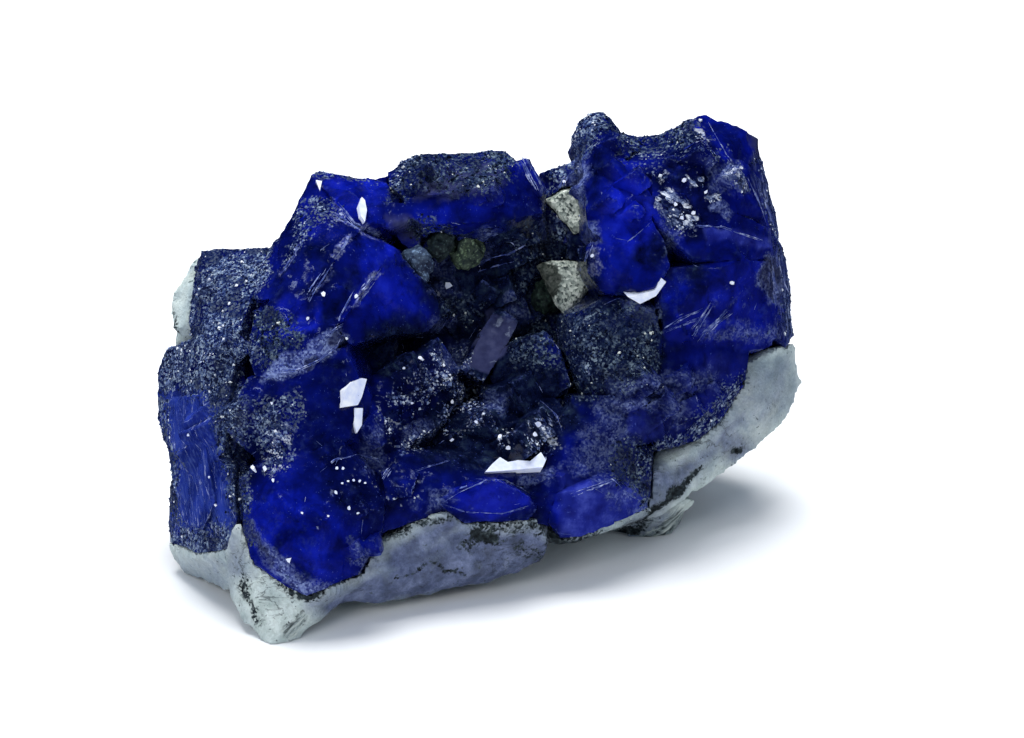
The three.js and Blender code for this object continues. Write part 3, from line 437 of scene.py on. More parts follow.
def ragged(name, spots, size, softness=0.6, grain=0.5, grainy=0.0, torn=0.7):
    """What a mark leaves in the finish: a patch with an edge that is broken by lumps of that size."""
    tree = spots.id_data
    feeds = {"Mark": marked(tree, name), "Spots": spots, "Size": size, "Torn": torn, "Grainy": grainy,
             "Grain": grain, "Softness": softness}
    return place(tree, "ShaderNodeGroup", feeds, node_tree=ragged_patch).outputs[0]


rock = stone_surface("matrix", *ROCK_MESH)
spots = eased(rock, points_of(rock), *ROCK_EASING)
move_points(rock, spots)
bulge = proud(rock, spots, ROCK_NEAR)
# lumps of three sizes, and ledges that lie level, each by its height and its size
lift = (0.34 * roughness_of(spots, 4.5, 1) + 0.26 * roughness_of(spots, 1.9, 2)
        - 0.22 * np.abs(roughness_of(spots, 3.1, 3, (1, 1, 0.45))) + 0.12 * roughness_of(spots, 0.9, 4))
rock_seam = nearness(spots, "sapphire", ROCK_SEAM)
lift = lift * (1 - 0.8 * rock_seam) + ROCK_SWELL * np.clip(rock_seam * 2 - 0.8, 0, 1)
lift *= np.clip(spots[:, 2] / ROCK_FOOT, 0, 1)
spots = spots + normals_of(rock) * lift[:, None]
spots[:, 2] = np.maximum(spots[:, 2], 0)
move_points(rock, spots)
front = facing_front(rock, 0.8)
rock_marks = patch_marks(ROCK_PATCHES, ROCK_ELSEWHERE, strayed_sight(spots, 5, ROCK_WANDER))
for number, (name, level) in enumerate(ROCK_ELSEWHERE.items()):
    slow = np.clip(0.4 + 1.2 * (roughness_of(spots, ROCK_BACK_PATCH, 71 + number) + level), 0, 0.8)
    mark(rock, name, front * rock_marks[name] + (1 - front) * slow)
mark(rock, "bulge", bulge)

rock_finish, tree, shader = new_material("host_rock")
spots_mm = millimetres(tree)
paleness, from_middle = grain_cells(spots_mm, 4.6)
# pale ground with greener clouds, chalky parts and blue-grey painted shade, each grain with a paleness of its
# own
base = graded(soft_noise(spots_mm, 6.0, 5, 0.62, 0.3),
              (0.32, 132, 148, 156), (0.5, 170, 184, 186), (0.68, 200, 210, 206))
base = overlaid(between(soft_noise(spots_mm, 3.2, 5, 0.65), 0.54, 0.74, 0.6), base, srgb(142, 152, 136))
base = overlaid(times(marked(tree, "chalk"), 0.75), base, graded(
    soft_noise(spots_mm, 1.4, 5, 0.65), (0.34, 168, 182, 176), (0.6, 214, 224, 220)))
base = overlaid(times(ragged("painted_shade", spots_mm, 3.0, 0.9), 0.92), base, graded(
    soft_noise(spots_mm, 1.8, 5, 0.65), (0.32, 42, 50, 82), (0.5, 72, 82, 120), (0.68, 108, 118, 154)))
shade = plus(times(paleness, 0.20), 0.88)
base = place(tree, "ShaderNodeVectorMath", {0: base, "Scale": shade}, operation="SCALE").outputs[0]
# dark grime and cracks, with shade painted along the rim under the sapphire, and streaked flakes at the feet
base = overlaid(ragged("grime_and_shade", spots_mm, 1.2, 0.3, paleness, 0.5, 0.8), base, graded(
    soft_noise(spots_mm, 0.5, 4, 0.6), (0.35, 14, 20, 24), (0.55, 40, 50, 56), (0.75, 96, 108, 108)))
flake = ragged("flake", spots_mm, 1.6, 0.4, paleness, 0.3, 0.8)
streak = soft_noise(drawn_out(spots_mm, FLAKE_RUN, 6.0), 0.55, 6, 0.7)
base = overlaid(flake, base, graded(
    streak, (0.36, 22, 28, 30), (0.43, 96, 106, 106), (0.50, 146, 158, 158), (0.66, 214, 220, 212)))
# thin dark cracks and dark specks, and painted shade darkening the hollows
crack_field = soft_noise(millimetres(tree, (2.4, 1, 0.8)), 2.6, 5, 0.6, 0.6)
crack_gap = maths("ABSOLUTE", less(crack_field, 0.47), 0.0)
crack = maths("SUBTRACT", 1.0, times(crack_gap, 75.0), clamp=True)
crack = times(crack, beyond(soft_noise(spots_mm, 5.0, 2), 0.55))
base = overlaid(times(crack, 0.7), base, srgb(46, 54, 60))
speck = beyond(soft_noise(spots_mm, 0.5, 2, 0.5), 0.70)
base = overlaid(times(speck, 0.7), base, srgb(60, 68, 74))
# painted shade: darker where the surface lies below its neighbours
base = overlaid(between(marked(tree, "bulge"), -0.1, -0.7, 0.7), base, srgb(56, 66, 82))
relief = plus(times(soft_noise(spots_mm, 0.5, 5, 0.65), 0.8), times(from_middle, 0.2))
relief = plus(relief, times(times(streak, flake), 0.7))
relief = less(relief, times(crack, 0.5))
bumped(shader, relief, 0.0003)
feed(shader, {"Base Color": base, "Roughness": 0.72, "Specular IOR Level": 0.3})
set_in_place("host_rock", rock, rock_finish, "matrix", "matrix")

# ---------------------------------------------------------------- sapphire
# One intergrown mass of deep blue corundum, with glassy cleavage faces, frosted and sugary skins of small
# crystals, a fibrous left flank, and a black hollow lined with druse in the middle. Shade is painted into its
# colour in its hollows, grooves and creases, and light is painted on its ridges, ribs, glints and glowing
# faces.
GEM_MESH = (8, 0.67)  # how finely it is resurfaced
GEM_EASING = (1, 0.25)  # rounds of easing that take the corners off, and how far each goes
GEM_BROAD = 170  # so many rounds of easing leave its broad shape alone
GEM_NEAR = 30  # and so many leave all but its edges and joints
GEM_SEAM = 1.6  # how near the rock its seam with it begins
GEM_FOOT = 0.3  # how far it stays off the ground
FACET_SEED = 7
PATCH_WANDER = 0.75  # how far the edge of a patch strays from its outline
BACK_PATCH = 8.0  # size of the patches on the sides and back


def box(left, right, low, high):
    """The outline of an upright box of the show face."""
    return [(left, high), (right, high), (right, low), (left, low)]


# Patches of the show face: the finish, how strongly it is laid, how soft its edge is, and its outline in
# across and up.
# The deep patches are painted shade, laid in grooves, dark corners and under overhangs.
PATCHES = [
    # left flank: frosted above, fibrous below, with a frosted rim and foot, and a mottled seam to the middle
    ("deep", 0.6, 1.4, [
        (-31, 11.8), (-22, 14.3), (-21.6, 11), (-23.2, 5), (-24.6, -2), (-31.7, -1.5), (-34, 0), (-33, 8)]),
    ("frost", 0.66, 0.7, [
        (-31, 11.8), (-28.2, 14.2), (-22, 14.3), (-20.8, 14.4), (-21, 11.8), (-22.6, 8), (-23.2, 5),
        (-22, 3.5), (-23.4, 0.8), (-24.6, -2), (-26.7, -1.2), (-28.7, -2), (-30.2, -0.5), (-31.7, -1.5),
        (-34, 0), (-34, 4), (-33, 8)]),
    ("frost", 0.6, 0.6, [
        (-33.5, -1.5), (-31.4, -1.8), (-31, -5), (-30, -8.2), (-30.2, -11), (-29.6, -14), (-30.6, -16),
        (-32.8, -16), (-32.5, -11), (-33.4, -6)]),
    ("frost", 0.85, 0.8, [
        (-32.4, -15), (-28, -14.6), (-24.2, -14), (-23.5, -16.5), (-25.4, -19.5), (-28.2, -19.5),
        (-32.4, -18.8)]),
    ("mottle", 0.8, 0.7, [
        (-26.6, 3.5), (-24.6, 2.8), (-23.6, -2), (-23.6, -7), (-23.6, -12), (-23, -16.5), (-24.2, -17.5),
        (-25, -14), (-25.8, -9), (-26.6, -4), (-27, 0)]),
    ("frost", 0.8, 0.6, [
        (-26.6, 3), (-24.4, 3), (-24, -3), (-23.6, -9), (-23.6, -13), (-25, -13), (-26.2, -6), (-26.8, -1)]),
    ("frost", 0.85, 0.7, [(-28.2, 0.6), (-24.4, 0.6), (-23.6, -8), (-25.2, -9.6), (-26.8, -5)]),
    ("haze", 0.75, 0.6, [
        (-26.4, 2.2), (-24.2, 2.2), (-23.6, -3), (-23.4, -11.4), (-25.2, -11.4), (-26.2, -4)]),
    ("fibre", 1, 1.2, [
        (-32.4, -1.2), (-26.7, -0.6), (-25, -5), (-24.4, -10), (-24, -15), (-27.7, -15.8), (-31.2, -15.8),
        (-31.6, -11), (-31, -8.2), (-32.2, -5)]),
    ("bright", 0.8, 1, [
        (-30, -2), (-27.6, -1.6), (-26.2, -6), (-25.4, -11), (-27, -12), (-28.6, -9), (-29.6, -6)]),
    # ribbed block: navy faces with painted shade in the grooves and painted highlights along the ribs,
    # frosted top edge, mottled foot with a frosted crescent under it
    ("frost", 0.26, 0.5, [
        (-18.6, 17.5), (-16.4, 18.6), (-14.7, 18.2), (-13.2, 16.5), (-14, 15.7), (-15.9, 15.4), (-17, 14),
        (-18, 12.8), (-19, 11.8), (-20.2, 11.2), (-19.4, 13.8), (-18.6, 15.5)]),
    ("bright", 1, 0.6, [
        (-17.4, 21.5), (-13.7, 21.4), (-9.3, 20.9), (-9.8, 16.8), (-11, 15.4), (-13.2, 15.8), (-15.2, 18),
        (-17, 19)]),
    ("frost", 0.5, 0.4, [
        (-17.3, 21), (-13.4, 20.9), (-10.6, 20.3), (-11.2, 19.6), (-14.6, 19.9), (-17.2, 19.9)]),
    ("mottle", 0.66, 0.6, [
        (-23, 6.4), (-20.9, 7.4), (-19.2, 6.2), (-18, 4.8), (-17.6, 4), (-19.2, 3.5), (-22, 0.8),
        (-23, 2.8)]),
    ("haze", 1, 0.35, [
        (-22, 0.8), (-19.2, 3.2), (-16.4, 3.9), (-14.2, 5.4), (-13.5, 4.4), (-14.7, 2.3), (-17, 0.8),
        (-19.7, -0.1), (-22.4, -0.2)]),
    ("bright", 0.8, 1.4, [
        (-14, 11.2), (-11.6, 13.4), (-9, 12), (-7, 10), (-4.2, 7.5), (-4.4, 6.4), (-6.2, 6.6), (-8.2, 6.8),
        (-11, 6.4), (-13, 4.4), (-14.2, 3.2), (-13.7, 5.5), (-14.6, 6.8)]),
    ("chips", 0.7, 0.3, [(-18.2, 14.2), (-17.7, 14.3), (-19, 11.8), (-19.9, 10.4), (-20.1, 10.7)]),
    ("chips", 0.7, 0.2, [(-13.4, 14.6), (-13, 14.5), (-13.7, 13), (-14.3, 12), (-14.8, 12.2), (-14.2, 13.4)]),
    ("chips", 0.6, 0.25, [(-15, 11.6), (-14.8, 11.4), (-16.8, 8.2), (-17.3, 7.4), (-17.4, 7.9)]),
    ("chips", 0.66, 0.2, [(-10.1, 11.2), (-9.8, 11), (-11.5, 8.9), (-13.1, 7.2), (-13.3, 7.5), (-11.9, 9.2)]),
    ("deep", 0.9, 0.5, [(-19.4, 12.8), (-20.8, 9.4), (-22.2, 6.6), (-21.6, 6.2), (-19.8, 9), (-18.6, 11.6)]),
    ("deep", 0.85, 0.6, [(-15.6, 12.6), (-17.6, 9), (-18.8, 6.4), (-17.2, 5.8), (-15.8, 8.6), (-14.4, 11.2)]),
    ("painted_glow", 0.8, 0.8, box(-19.8, -16.2, 5, 8.4)),
    ("deep", 0.85, 0.6, [(-12.8, 12.4), (-14.6, 9.2), (-15.8, 5.4), (-14.4, 4.6), (-13.4, 7.8), (-12, 11)]),
    ("deep", 0.4, 0.8, [(-9, 13), (-7, 11.6), (-4.8, 8.8), (-4, 6.4), (-6, 7.2), (-8.4, 10.4)]),
    ("chips", 0.9, 0.35, [(-14.7, 18), (-14.4, 17.9), (-13, 15.4), (-13.3, 15.3)]),
    ("chips", 0.9, 0.35, [
        (-15.7, 16.9), (-15.5, 16.6), (-12, 14.9), (-9, 13.4), (-8.6, 13.6), (-11.8, 15.3)]),
    # black patch under it, partly the stone's own black and partly painted shade under the ribbed block, and
    # the crusted block above with its bright blue band
    ("black_and_shade", 1, 1.3, [
        (-11.4, 4.6), (-9.4, 6), (-6.7, 6), (-4.2, 5.7), (-3, 5), (-4.2, 3), (-6.2, 1.5), (-7.7, 0.2),
        (-9.4, -0.2), (-10.8, 0.4), (-11.6, 2.8)]),
    ("mottle", 0.7, 0.9, [
        (-9.4, 19.5), (-8.2, 22.8), (-5.7, 23.5), (-2.2, 23.2), (-0.2, 23.4), (2.6, 23.8), (3.8, 21.5),
        (2.3, 19.2), (-1.2, 18.4), (-3.6, 18.6), (-5.4, 19), (-7.6, 18.4), (-9.4, 18.4)]),
    ("slate", 0.75, 1.2, [
        (-6, 20.6), (-2, 21.4), (2.2, 21.6), (2.2, 19.6), (-1.2, 18.6), (-4.6, 18), (-6.6, 18)]),
    ("frost", 0.45, 0.4, [
        (-9.4, 19.5), (-8.4, 22.6), (-5.7, 23.6), (-2.2, 23.3), (-2.6, 22.6), (-5.6, 22.6), (-7.4, 21.6),
        (-8.6, 19.4)]),
    ("bright", 1, 0.6, [
        (-7.4, 16.4), (-4.2, 17.4), (-1.2, 18), (2.3, 19.2), (4, 22.6), (6.9, 19), (5.6, 17.7), (3.8, 17),
        (1.8, 16.2), (-1.2, 15.4), (-4.2, 14.8), (-6.4, 13.6), (-8, 14.4)]),
    ("haze", 0.7, 0.35, [(4.3, 22.6), (4.9, 22.4), (6.4, 19.2), (6.4, 17.8), (6, 18), (5.4, 20)]),
    ("slate", 0.7, 0.9, [(-9.6, 16.4), (-6.8, 16.2), (-5.6, 14.6), (-7, 13.2), (-9.4, 14)]),
    # hollow: black, partly its own colour and partly painted shade
    ("black_and_shade", 1, 1, [
        (-6.7, 13), (-4.2, 14.2), (1.8, 15.4), (6.3, 16.6), (9.3, 14.5), (11, 11.8), (11.6, 8), (7.8, 6),
        (5.8, 3.5), (7.8, -1.5), (7.8, -6.5), (6.3, -8.5), (-0.2, -9.2), (-5.2, -8.2), (-6.7, -5),
        (-4.2, -1.5), (-3, 3.5), (-4.2, 6.2), (-6.2, 9.5)]),
    ("mottle", 0.5, 0.6, [(-7.6, 15.4), (-5, 16.4), (-2.6, 15.4), (-3.4, 13.4), (-6.4, 12.8)]),
    ("mottle", 0.45, 0.6, [(2.6, 14), (6.4, 15.4), (8.8, 13), (7.6, 10.8), (4, 12)]),
    ("mottle", 0.35, 0.6, [(-4, 8.4), (-1, 9), (0.6, 7.2), (-1.6, 5.6), (-3.8, 6.6)]),
    ("mottle", 0.5, 0.8, [(2.8, 4.6), (5, 4.4), (8.4, 2.8), (8.2, 1.4), (5.6, 1.2), (2.6, 1.4)]),
    ("slate", 1, 0.25, [(0.8, 6.8), (3.3, 6.2), (3, 4.8), (0.6, 0.5), (-1.6, 1.2), (-1.2, 3)]),
    # right cleft, knob and saddle
    ("frost", 0.5, 0.6, [(6.6, 22), (9.6, 22.4), (10, 20.6), (8, 20), (6.6, 20.4)]),
    ("frost", 0.85, 0.5, [
        (8.7, 23.2), (9, 26.8), (10.6, 27.6), (11.8, 27.4), (12.2, 26), (11.6, 24.4), (10.8, 22.6),
        (9.4, 21.6)]),
    ("frost", 0, 1, [
        (13.5, 26.8), (15.8, 25.4), (17.3, 25.3), (18.8, 26), (20.1, 27.1), (22.2, 27.4), (23.4, 24),
        (25.8, 22), (26.3, 20.5), (21.8, 21.5), (18.3, 21.8), (16.8, 20), (14.3, 20.8), (13.3, 23)]),
    ("mottle", 0.4, 0.8, [
        (13.5, 26.8), (17.3, 25.3), (20.1, 27.1), (22.2, 25), (20, 23), (16, 22), (13.6, 23)]),
    ("bright", 1, 0.6, [
        (9.6, 22.8), (11.8, 23.7), (13, 23), (13.8, 20.5), (15.8, 20), (17.3, 18.5), (17.6, 16.5),
        (16.8, 14.8), (14.8, 13.7), (12.8, 13.2), (11.6, 14.2), (10.2, 15.8), (9.6, 19)]),
    ("bright", 0.75, 0.8, [
        (11, 14), (12.8, 13.2), (14, 12.4), (15, 10.8), (16.8, 9.8), (14.3, 9), (12.3, 9.5), (11.2, 11)]),
    ("deep", 1, 0.5, [(15, 13.8), (17.6, 14.8), (19.2, 13.4), (17.4, 11), (15.4, 11.6)]),
    ("chips", 0.95, 0.4, [(11.3, 13.2), (11.8, 13), (11.2, 10.8), (10.7, 10.6), (10.9, 12)]),
    # plates and faces of the right-hand block
    ("deep", 1, 0.9, [(16.6, 21), (20, 23.4), (23, 21), (24.4, 17.6), (22.4, 14.8), (18.6, 14.6)]),
    ("plates", 0.9, 0.3, [
        (17.6, 18.6), (18.8, 18.9), (20.2, 17.8), (21.5, 16.5), (21.2, 14.8), (20, 14.4), (18.4, 15.2),
        (17.4, 16.8)]),
    ("plates", 1, 0.2, [(20.3, 20.2), (21.6, 20.2), (21.5, 19.4), (20.6, 19.3)]),
    ("plates", 1, 0.2, [(22.4, 18.8), (23.6, 18.9), (23.7, 17.8), (22.7, 17.8)]),
    ("plates", 0.7, 0.3, [(17.6, 20.6), (18.6, 20.9), (18.8, 20), (17.8, 19.8)]),
    ("haze", 1, 0.3, [(23.4, 21.5), (25.1, 21.8), (26.8, 19.8), (27, 18.2), (25.6, 18.8), (23.8, 20)]),
    ("plates", 0.6, 0.4, [(23.6, 21.3), (25.1, 21.6), (26.6, 19.8), (26.8, 18.4), (25.6, 19), (24, 20)]),
    ("haze", 0.9, 0.3, [(22.3, 17.6), (24, 18), (25.7, 16.8), (25.1, 16.1), (22.8, 16.6)]),
    ("plates", 0.45, 0.4, [(19.8, 26.6), (21.6, 26.2), (23, 23.8), (21.8, 23.6), (20.4, 25)]),
    ("bright", 1, 0.5, [
        (20.8, 27.6), (23, 27.3), (25.3, 26.7), (27, 25.5), (27, 21.5), (26, 21.2), (24.3, 22.6),
        (22.8, 23.4), (21.5, 25.2)]),
    ("slate", 0.9, 0.35, [(26.9, 25.8), (29.4, 25), (29, 21.8), (27.8, 21.4), (27.2, 23.4)]),
    ("bright", 0.6, 1.4, [(21.8, 22), (26.8, 20.2), (28.6, 18), (29.3, 14.6), (25.8, 15.6), (21.8, 16.2)]),
    ("violet", 1, 0.35, [(22, 15.3), (25.3, 15.2), (29, 14.2), (29, 12.9), (25.6, 13.6), (22.2, 13.8)]),
    ("bright", 0.85, 1.8, [
        (15.8, 11.8), (21.8, 13), (28.8, 12.5), (30.3, 9), (29.8, 5), (27.3, 3.5), (25.3, 2.8), (21.8, 3.5),
        (18.6, 4.6), (17.4, 6.8)]),
    ("haze", -0.06, 1.8, [(17.6, 11), (29, 11.8), (29.4, 5), (24, 3.6), (18.4, 5.2)]),
    ("mottle", 0.6, 0.8, [(4.4, 8), (9, 7.6), (9.4, 3.6), (5.6, 3.2)]),
    ("mottle", 0.4, 0.8, [(3, 12.4), (5.6, 12.4), (5.8, 8), (3.4, 7)]),
    ("frost", 0.4, 0.7, [(6.4, 19.8), (8.4, 19.6), (9.6, 16), (8.4, 13.4), (6.6, 15.6)]),
    ("black_and_shade", 0.75, 1.2, [(17.4, 12.6), (23, 12.4), (22.6, 9.6), (18.6, 9.4)]),
    ("rind", 1, 0.9, [
        (27.4, 22), (29.4, 22), (31, 14), (32, 12.2), (32.4, 9), (32.8, 3.5), (30.6, 3), (30.2, 5), (30, 8),
        (30, 11), (29.3, 14), (28.6, 17)]),
    ("haze", 1, 0.5, [(27.6, 12.6), (29.6, 12.6), (30.6, 9.4), (29.8, 7.2), (28.4, 7.6), (27.8, 9.6)]),
    # brighter parts of the glass, a glow painted where faces in shade are bright, and deeper parts, painted
    # shade
    ("painted_glow", 0.8, 1.2, [
        (12.4, 21.6), (14.6, 21.4), (16.6, 19.6), (17.8, 16.6), (17.8, 12.4), (14.5, 12), (12.4, 13.4),
        (12, 17.6)]),
    ("deep", 0.9, 1, [(10.2, 24.2), (13.2, 24), (12.9, 21.4), (12.4, 18.4), (10.8, 17.6), (9.8, 20.6)]),
    ("mottle", 0.62, 0.7, [(10.8, 27.6), (13.2, 26.6), (13.2, 25.2), (11, 24.6)]),
    ("haze", 1, 0.5, [(8.6, 23.8), (10.2, 23.8), (10.7, 21.6), (10.4, 17.4), (9.2, 17.4), (8.6, 20.6)]),
    ("haze", 0.7, 0.6, [(9.8, 16.2), (12, 16.2), (11.8, 13.6), (10, 13.6)]),
    ("deep", 0.7, 0.9, [(22.2, 26.4), (25.4, 26.2), (26.8, 24.4), (26, 23.2), (22.6, 24.2)]),
    ("haze", 0.45, 0.7, [(21.8, 22), (26.3, 22.2), (26.4, 18.6), (22.4, 18.2)]),
    ("painted_glow", 0.7, 0.8, [(17, 16.6), (20, 16.6), (20.2, 11.6), (17, 11.6)]),
    ("haze", 0.3, 0.8, [(17.2, 16.6), (20, 16.6), (20.2, 11.6), (17.2, 11.6)]),
    ("haze", 0.85, 0.6, [(27.9, 12), (30, 12), (30, 9.4), (28, 9.4)]),
    ("haze", 0.7, 0.7, box(13.6, 17.6, 5.6, 8.2)),
    ("painted_glow", 0.75, 1.2, [(-11.6, 11), (-8.6, 11.4), (-5.4, 8.4), (-6, 6.8), (-10.4, 7)]),
    ("painted_glow", 0.7, 0.8, [(-3.6, -11.6), (0.6, -10.2), (4.4, -11.4), (2, -13.4), (-2, -13.2)]),
    ("painted_glow", 1, 0.7, [(-10, 14.8), (-6.6, 15.2), (-6.4, 12.6), (-9.8, 12.6)]),
    ("haze", 0.35, 0.8, box(-5.4, -2.4, 8.2, 13.4)),
    ("haze", 0.65, 0.8, box(-0.9, 1.2, 11.6, 15.2)),
    ("haze", 0.45, 0.8, box(5.4, 7.4, 12.6, 16.4)),
    ("haze", 0.5, 0.9, box(2, 8.2, 5.8, 9.2)),
    ("haze", 0.45, 0.8, box(-5.2, -2.4, 4.2, 6.6)),
    ("haze", 0.85, 0.6, box(-3.6, -1.5, 0.6, 3.8)),
    ("haze", 0.75, 0.7, box(0.2, 2.9, -3.4, -0.9)),
    ("haze", 0.4, 0.8, box(-8.2, -4, -6.6, -3.8)),
    ("painted_glow", 0.6, 0.8, box(-8.2, -4, -6.6, -3.8)),
    ("haze", 0.5, 0.8, box(-12.2, -9.5, -9.2, -4.2)),
    ("haze", 0.5, 0.8, box(3.4, 7.2, -10.6, -8.8)),
    ("painted_glow", 0.8, 0.8, [
        (-8.8, 15.6), (-5, 15.4), (-2.4, 14.2), (-2.6, 9), (-4.8, 8.8), (-5.4, 12.6), (-8.6, 13.6)]),
    ("painted_glow", 0.6, 1, [(-0.6, 15), (2, 15.4), (2, 12), (-0.4, 12)]),
    ("deep", 0.85, 1.6, [
        (-18.4, -6), (-15.2, -4.5), (-13, -7.5), (-9.4, -11), (-10.4, -14.8), (-13.7, -15), (-16, -12.5),
        (-18.2, -10)]),
    ("deep", 0.65, 1.4, [(-18, 0.4), (-12.8, 1), (-12.6, -5.4), (-17.2, -5.4)]),
    ("deep", 0.6, 0.8, [(-10.8, 19.2), (-8.2, 19), (-8, 16.2), (-10.6, 16)]),
    ("deep", 0.6, 0.9, [(2.2, 20.6), (5, 20.6), (6.2, 17.2), (3, 16), (-2.8, 15), (-2.8, 17.4), (1.6, 17.8)]),
    ("haze", 0.45, 1.1, [(21, 6.6), (25.6, 5.6), (29.8, 6.8), (29.8, 3.6), (21.6, 3.4)]),
    ("haze", 0.5, 1, [(12, 0.2), (18.4, 1.2), (24.4, 1.4), (23.6, -1), (18, -1.4), (12.4, -1.6)]),
    ("haze", 1, 0.7, [
        (-23.8, -14.6), (-22.6, -17), (-20.4, -20), (-18, -22), (-15, -22), (-14.6, -20.8), (-17.6, -19.9),
        (-20, -18), (-21.8, -15.8), (-22.8, -14)]),
    ("haze", 0.45, 0.8, [(-13.4, -15.4), (-11.4, -15.4), (-11, -19.2), (-13.6, -19)]),
    ("haze", 0.35, 0.9, box(-7.2, -1, -13.2, -11.8)),
    ("haze", 0.45, 0.7, box(14.6, 17, -12.4, -9.4)),
    ("haze", 0.5, 0.8, [(-6, -10.8), (-3.2, -10.4), (-2.4, -12.6), (-5.4, -13.2)]),
    ("haze", 0.45, 0.8, [(11.6, -10.8), (15.8, -10.8), (16.6, -13.2), (13, -13.2)]),
    # speckled boulder, and the dull, streaked edge below it
    ("black_and_shade", 0.9, 1, [
        (7.8, 6.5), (11.6, 8.4), (17, 8.6), (18.6, 6.5), (18.6, 1), (14.3, -1.6), (8.8, -2.4), (7.6, 1.5)]),
    ("mottle", 0.42, 1, [
        (7.8, 6), (11.6, 7.8), (13, 7), (11.8, 4), (12.3, 0), (11.6, -2), (9.3, -1.5), (8, 1.5)]),
    ("frost", 0.1, 1.2, [(7.8, 6), (11, 7.2), (12, 4), (11.6, -1), (9.3, -1.5), (8, 1.5)]),
    ("mottle", 0.42, 1, [
        (12, 7.5), (16.3, 8), (17.8, 6.5), (18, 3.5), (17.3, 0.5), (14.3, -1), (12, 0), (11.6, 4)]),
    ("violet", 0.35, 1.8, [
        (18, -1), (20.8, 3), (26.8, 3.6), (28, 2), (26.6, -0.5), (23.8, -2), (20.8, -5), (16.8, -6.5),
        (16, -4)]),
    ("deep", 0.85, 1.4, [
        (10.8, -1.5), (15.8, -0.5), (20, 1), (22.4, -1), (19.8, -5), (16.8, -7.5), (12.3, -7)]),
    ("violet", 0.4, 0.4, [(14.2, -2.6), (16.4, -2.4), (18, -5), (17, -6.2), (14.4, -5.6)]),
    ("haze", 0.4, 1.2, [(18.4, 0.4), (22, -1), (21, -4), (18.4, -5.4), (17.4, -2)]),
    ("frost", 0.3, 0.9, [
        (15.8, -7), (20.8, -4), (24, -0.8), (26.8, 1.4), (27.6, -0.5), (25.3, -3.8), (21.8, -7), (19, -9.4),
        (16.8, -12.4), (15.8, -10)]),
    ("haze", 0.42, 1.4, [
        (11, -2.4), (13.2, -1.5), (15.8, -6), (15.8, -10), (11.8, -11), (8.8, -10), (6.8, -9), (9, -6.6)]),
    ("haze", 0.7, 0.8, box(12.8, 17.8, -3.4, -1.6)),
    ("mottle", 0.7, 0.9, [(13.4, -6), (17.2, -6.4), (17.4, -12.8), (16, -12.4), (14, -10.4), (12.6, -9.4)]),
    ("violet", 1, 0.9, [
        (7.4, -9.4), (11.8, -10.6), (15.8, -10.5), (16.8, -13.2), (14.3, -14.5), (10.8, -16), (8, -15.4)]),
    ("bright", 0.7, 0.6, [(6.6, -11.6), (8.8, -11), (9, -15), (7, -14.6)]),
    ("bright", 1, 0.4, [
        (-4.2, -11.8), (-1.2, -10.2), (1.8, -9.8), (4.8, -11.2), (5, -12.5), (2.3, -13.8), (-1.2, -13.8),
        (-3.2, -13.2)]),
    # left of the hollow, the lobe and the step at its foot
    ("plates", 0.42, 0.5, [
        (-21.6, -4.4), (-19.6, -3.4), (-18.2, -5), (-19.4, -8.6), (-20.8, -9.6), (-22, -7.6)]),
    ("frost", 0.36, 0.7, [
        (-23.4, -2.2), (-20.7, -1.8), (-18.2, -0.8), (-17.7, -3), (-18.4, -6), (-19.4, -9.2), (-20.7, -9.8),
        (-22, -9), (-23.2, -6)]),
    ("bright", 0.9, 1.6, [
        (-23.7, -11), (-20.2, -10), (-15.2, -9.6), (-12, -12.6), (-11.4, -16.5), (-13.2, -18.8),
        (-16.2, -21), (-19.2, -22), (-22, -20), (-23.4, -16)]),
    ("bright", 0.5, 1.8, [
        (-18.2, 0), (-13.7, 0.8), (-13.2, -3), (-13.7, -7), (-15.2, -9), (-18.2, -8.8), (-18.2, -6),
        (-17.6, -3)]),
    ("deep", 1, 1.2, [
        (-9, 0.4), (-4.8, 3), (-1, 3.4), (1.4, -0.6), (7, -1.2), (8.4, -4), (7, -8.6), (-0.2, -9.4),
        (-5.4, -9.2), (-9, -8), (-10.8, -4.6)]),
    ("deep", 0.7, 1.2, [(-15.2, -7.4), (-10.7, -7.6), (-4.2, -9), (-5, -11.4), (-9.4, -13.4), (-13, -12)]),
    ("bright", 0.9, 0.8, [(-7.6, -2), (-5.4, -1.4), (-4, -2.6), (-4.4, -4.4), (-6.6, -4.8), (-8, -3.6)]),
    ("bright", 0.8, 0.7, [(-9, -9), (-7, -8.6), (-6, -10), (-7.4, -11.4), (-9.2, -10.8)]),
    ("sugar", 0.42, 0.7, [
        (-8.2, 0), (-5, 2.8), (-2.7, 3.7), (-1.2, 2.8), (-2, 0.5), (-4.2, -0.8), (-5.7, -2), (-8.2, -2.5),
        (-9.7, -1.5)]),
    ("sugar", 0.1, 1, [
        (-11, -0.8), (-8.2, -2), (-5.2, -1.8), (-4.6, -4.5), (-5.7, -7.2), (-8.4, -7.6), (-10.7, -6)]),
    ("sugar", 0.3, 0.8, [(-4.6, 1.8), (-1, 1.4), (0.4, -0.6), (-1.2, -2), (-4.4, -1.6)]),
    ("sugar", 0.16, 0.9, [
        (-4.6, -2), (0.6, -1.6), (2, -4.6), (4.8, -5), (7.8, -4), (7.8, -7.2), (6.3, -8.2), (1.8, -8),
        (0.4, -5.8), (-3, -5.8), (-5.4, -5.2)]),
    ("black_and_shade", 0.95, 0.8, [(3.6, 1.4), (7.8, 1.6), (9.4, -2), (10, -5), (7.6, -5), (4.4, -4.6), (3.2, -2)]),
    ("plates", 0.85, 0.3, [(4.9, -3.8), (6.5, -3.8), (7.6, -5.4), (7.4, -7), (5.8, -6.4), (5, -5)]),
    ("sugar", -0.1, 1.4, [
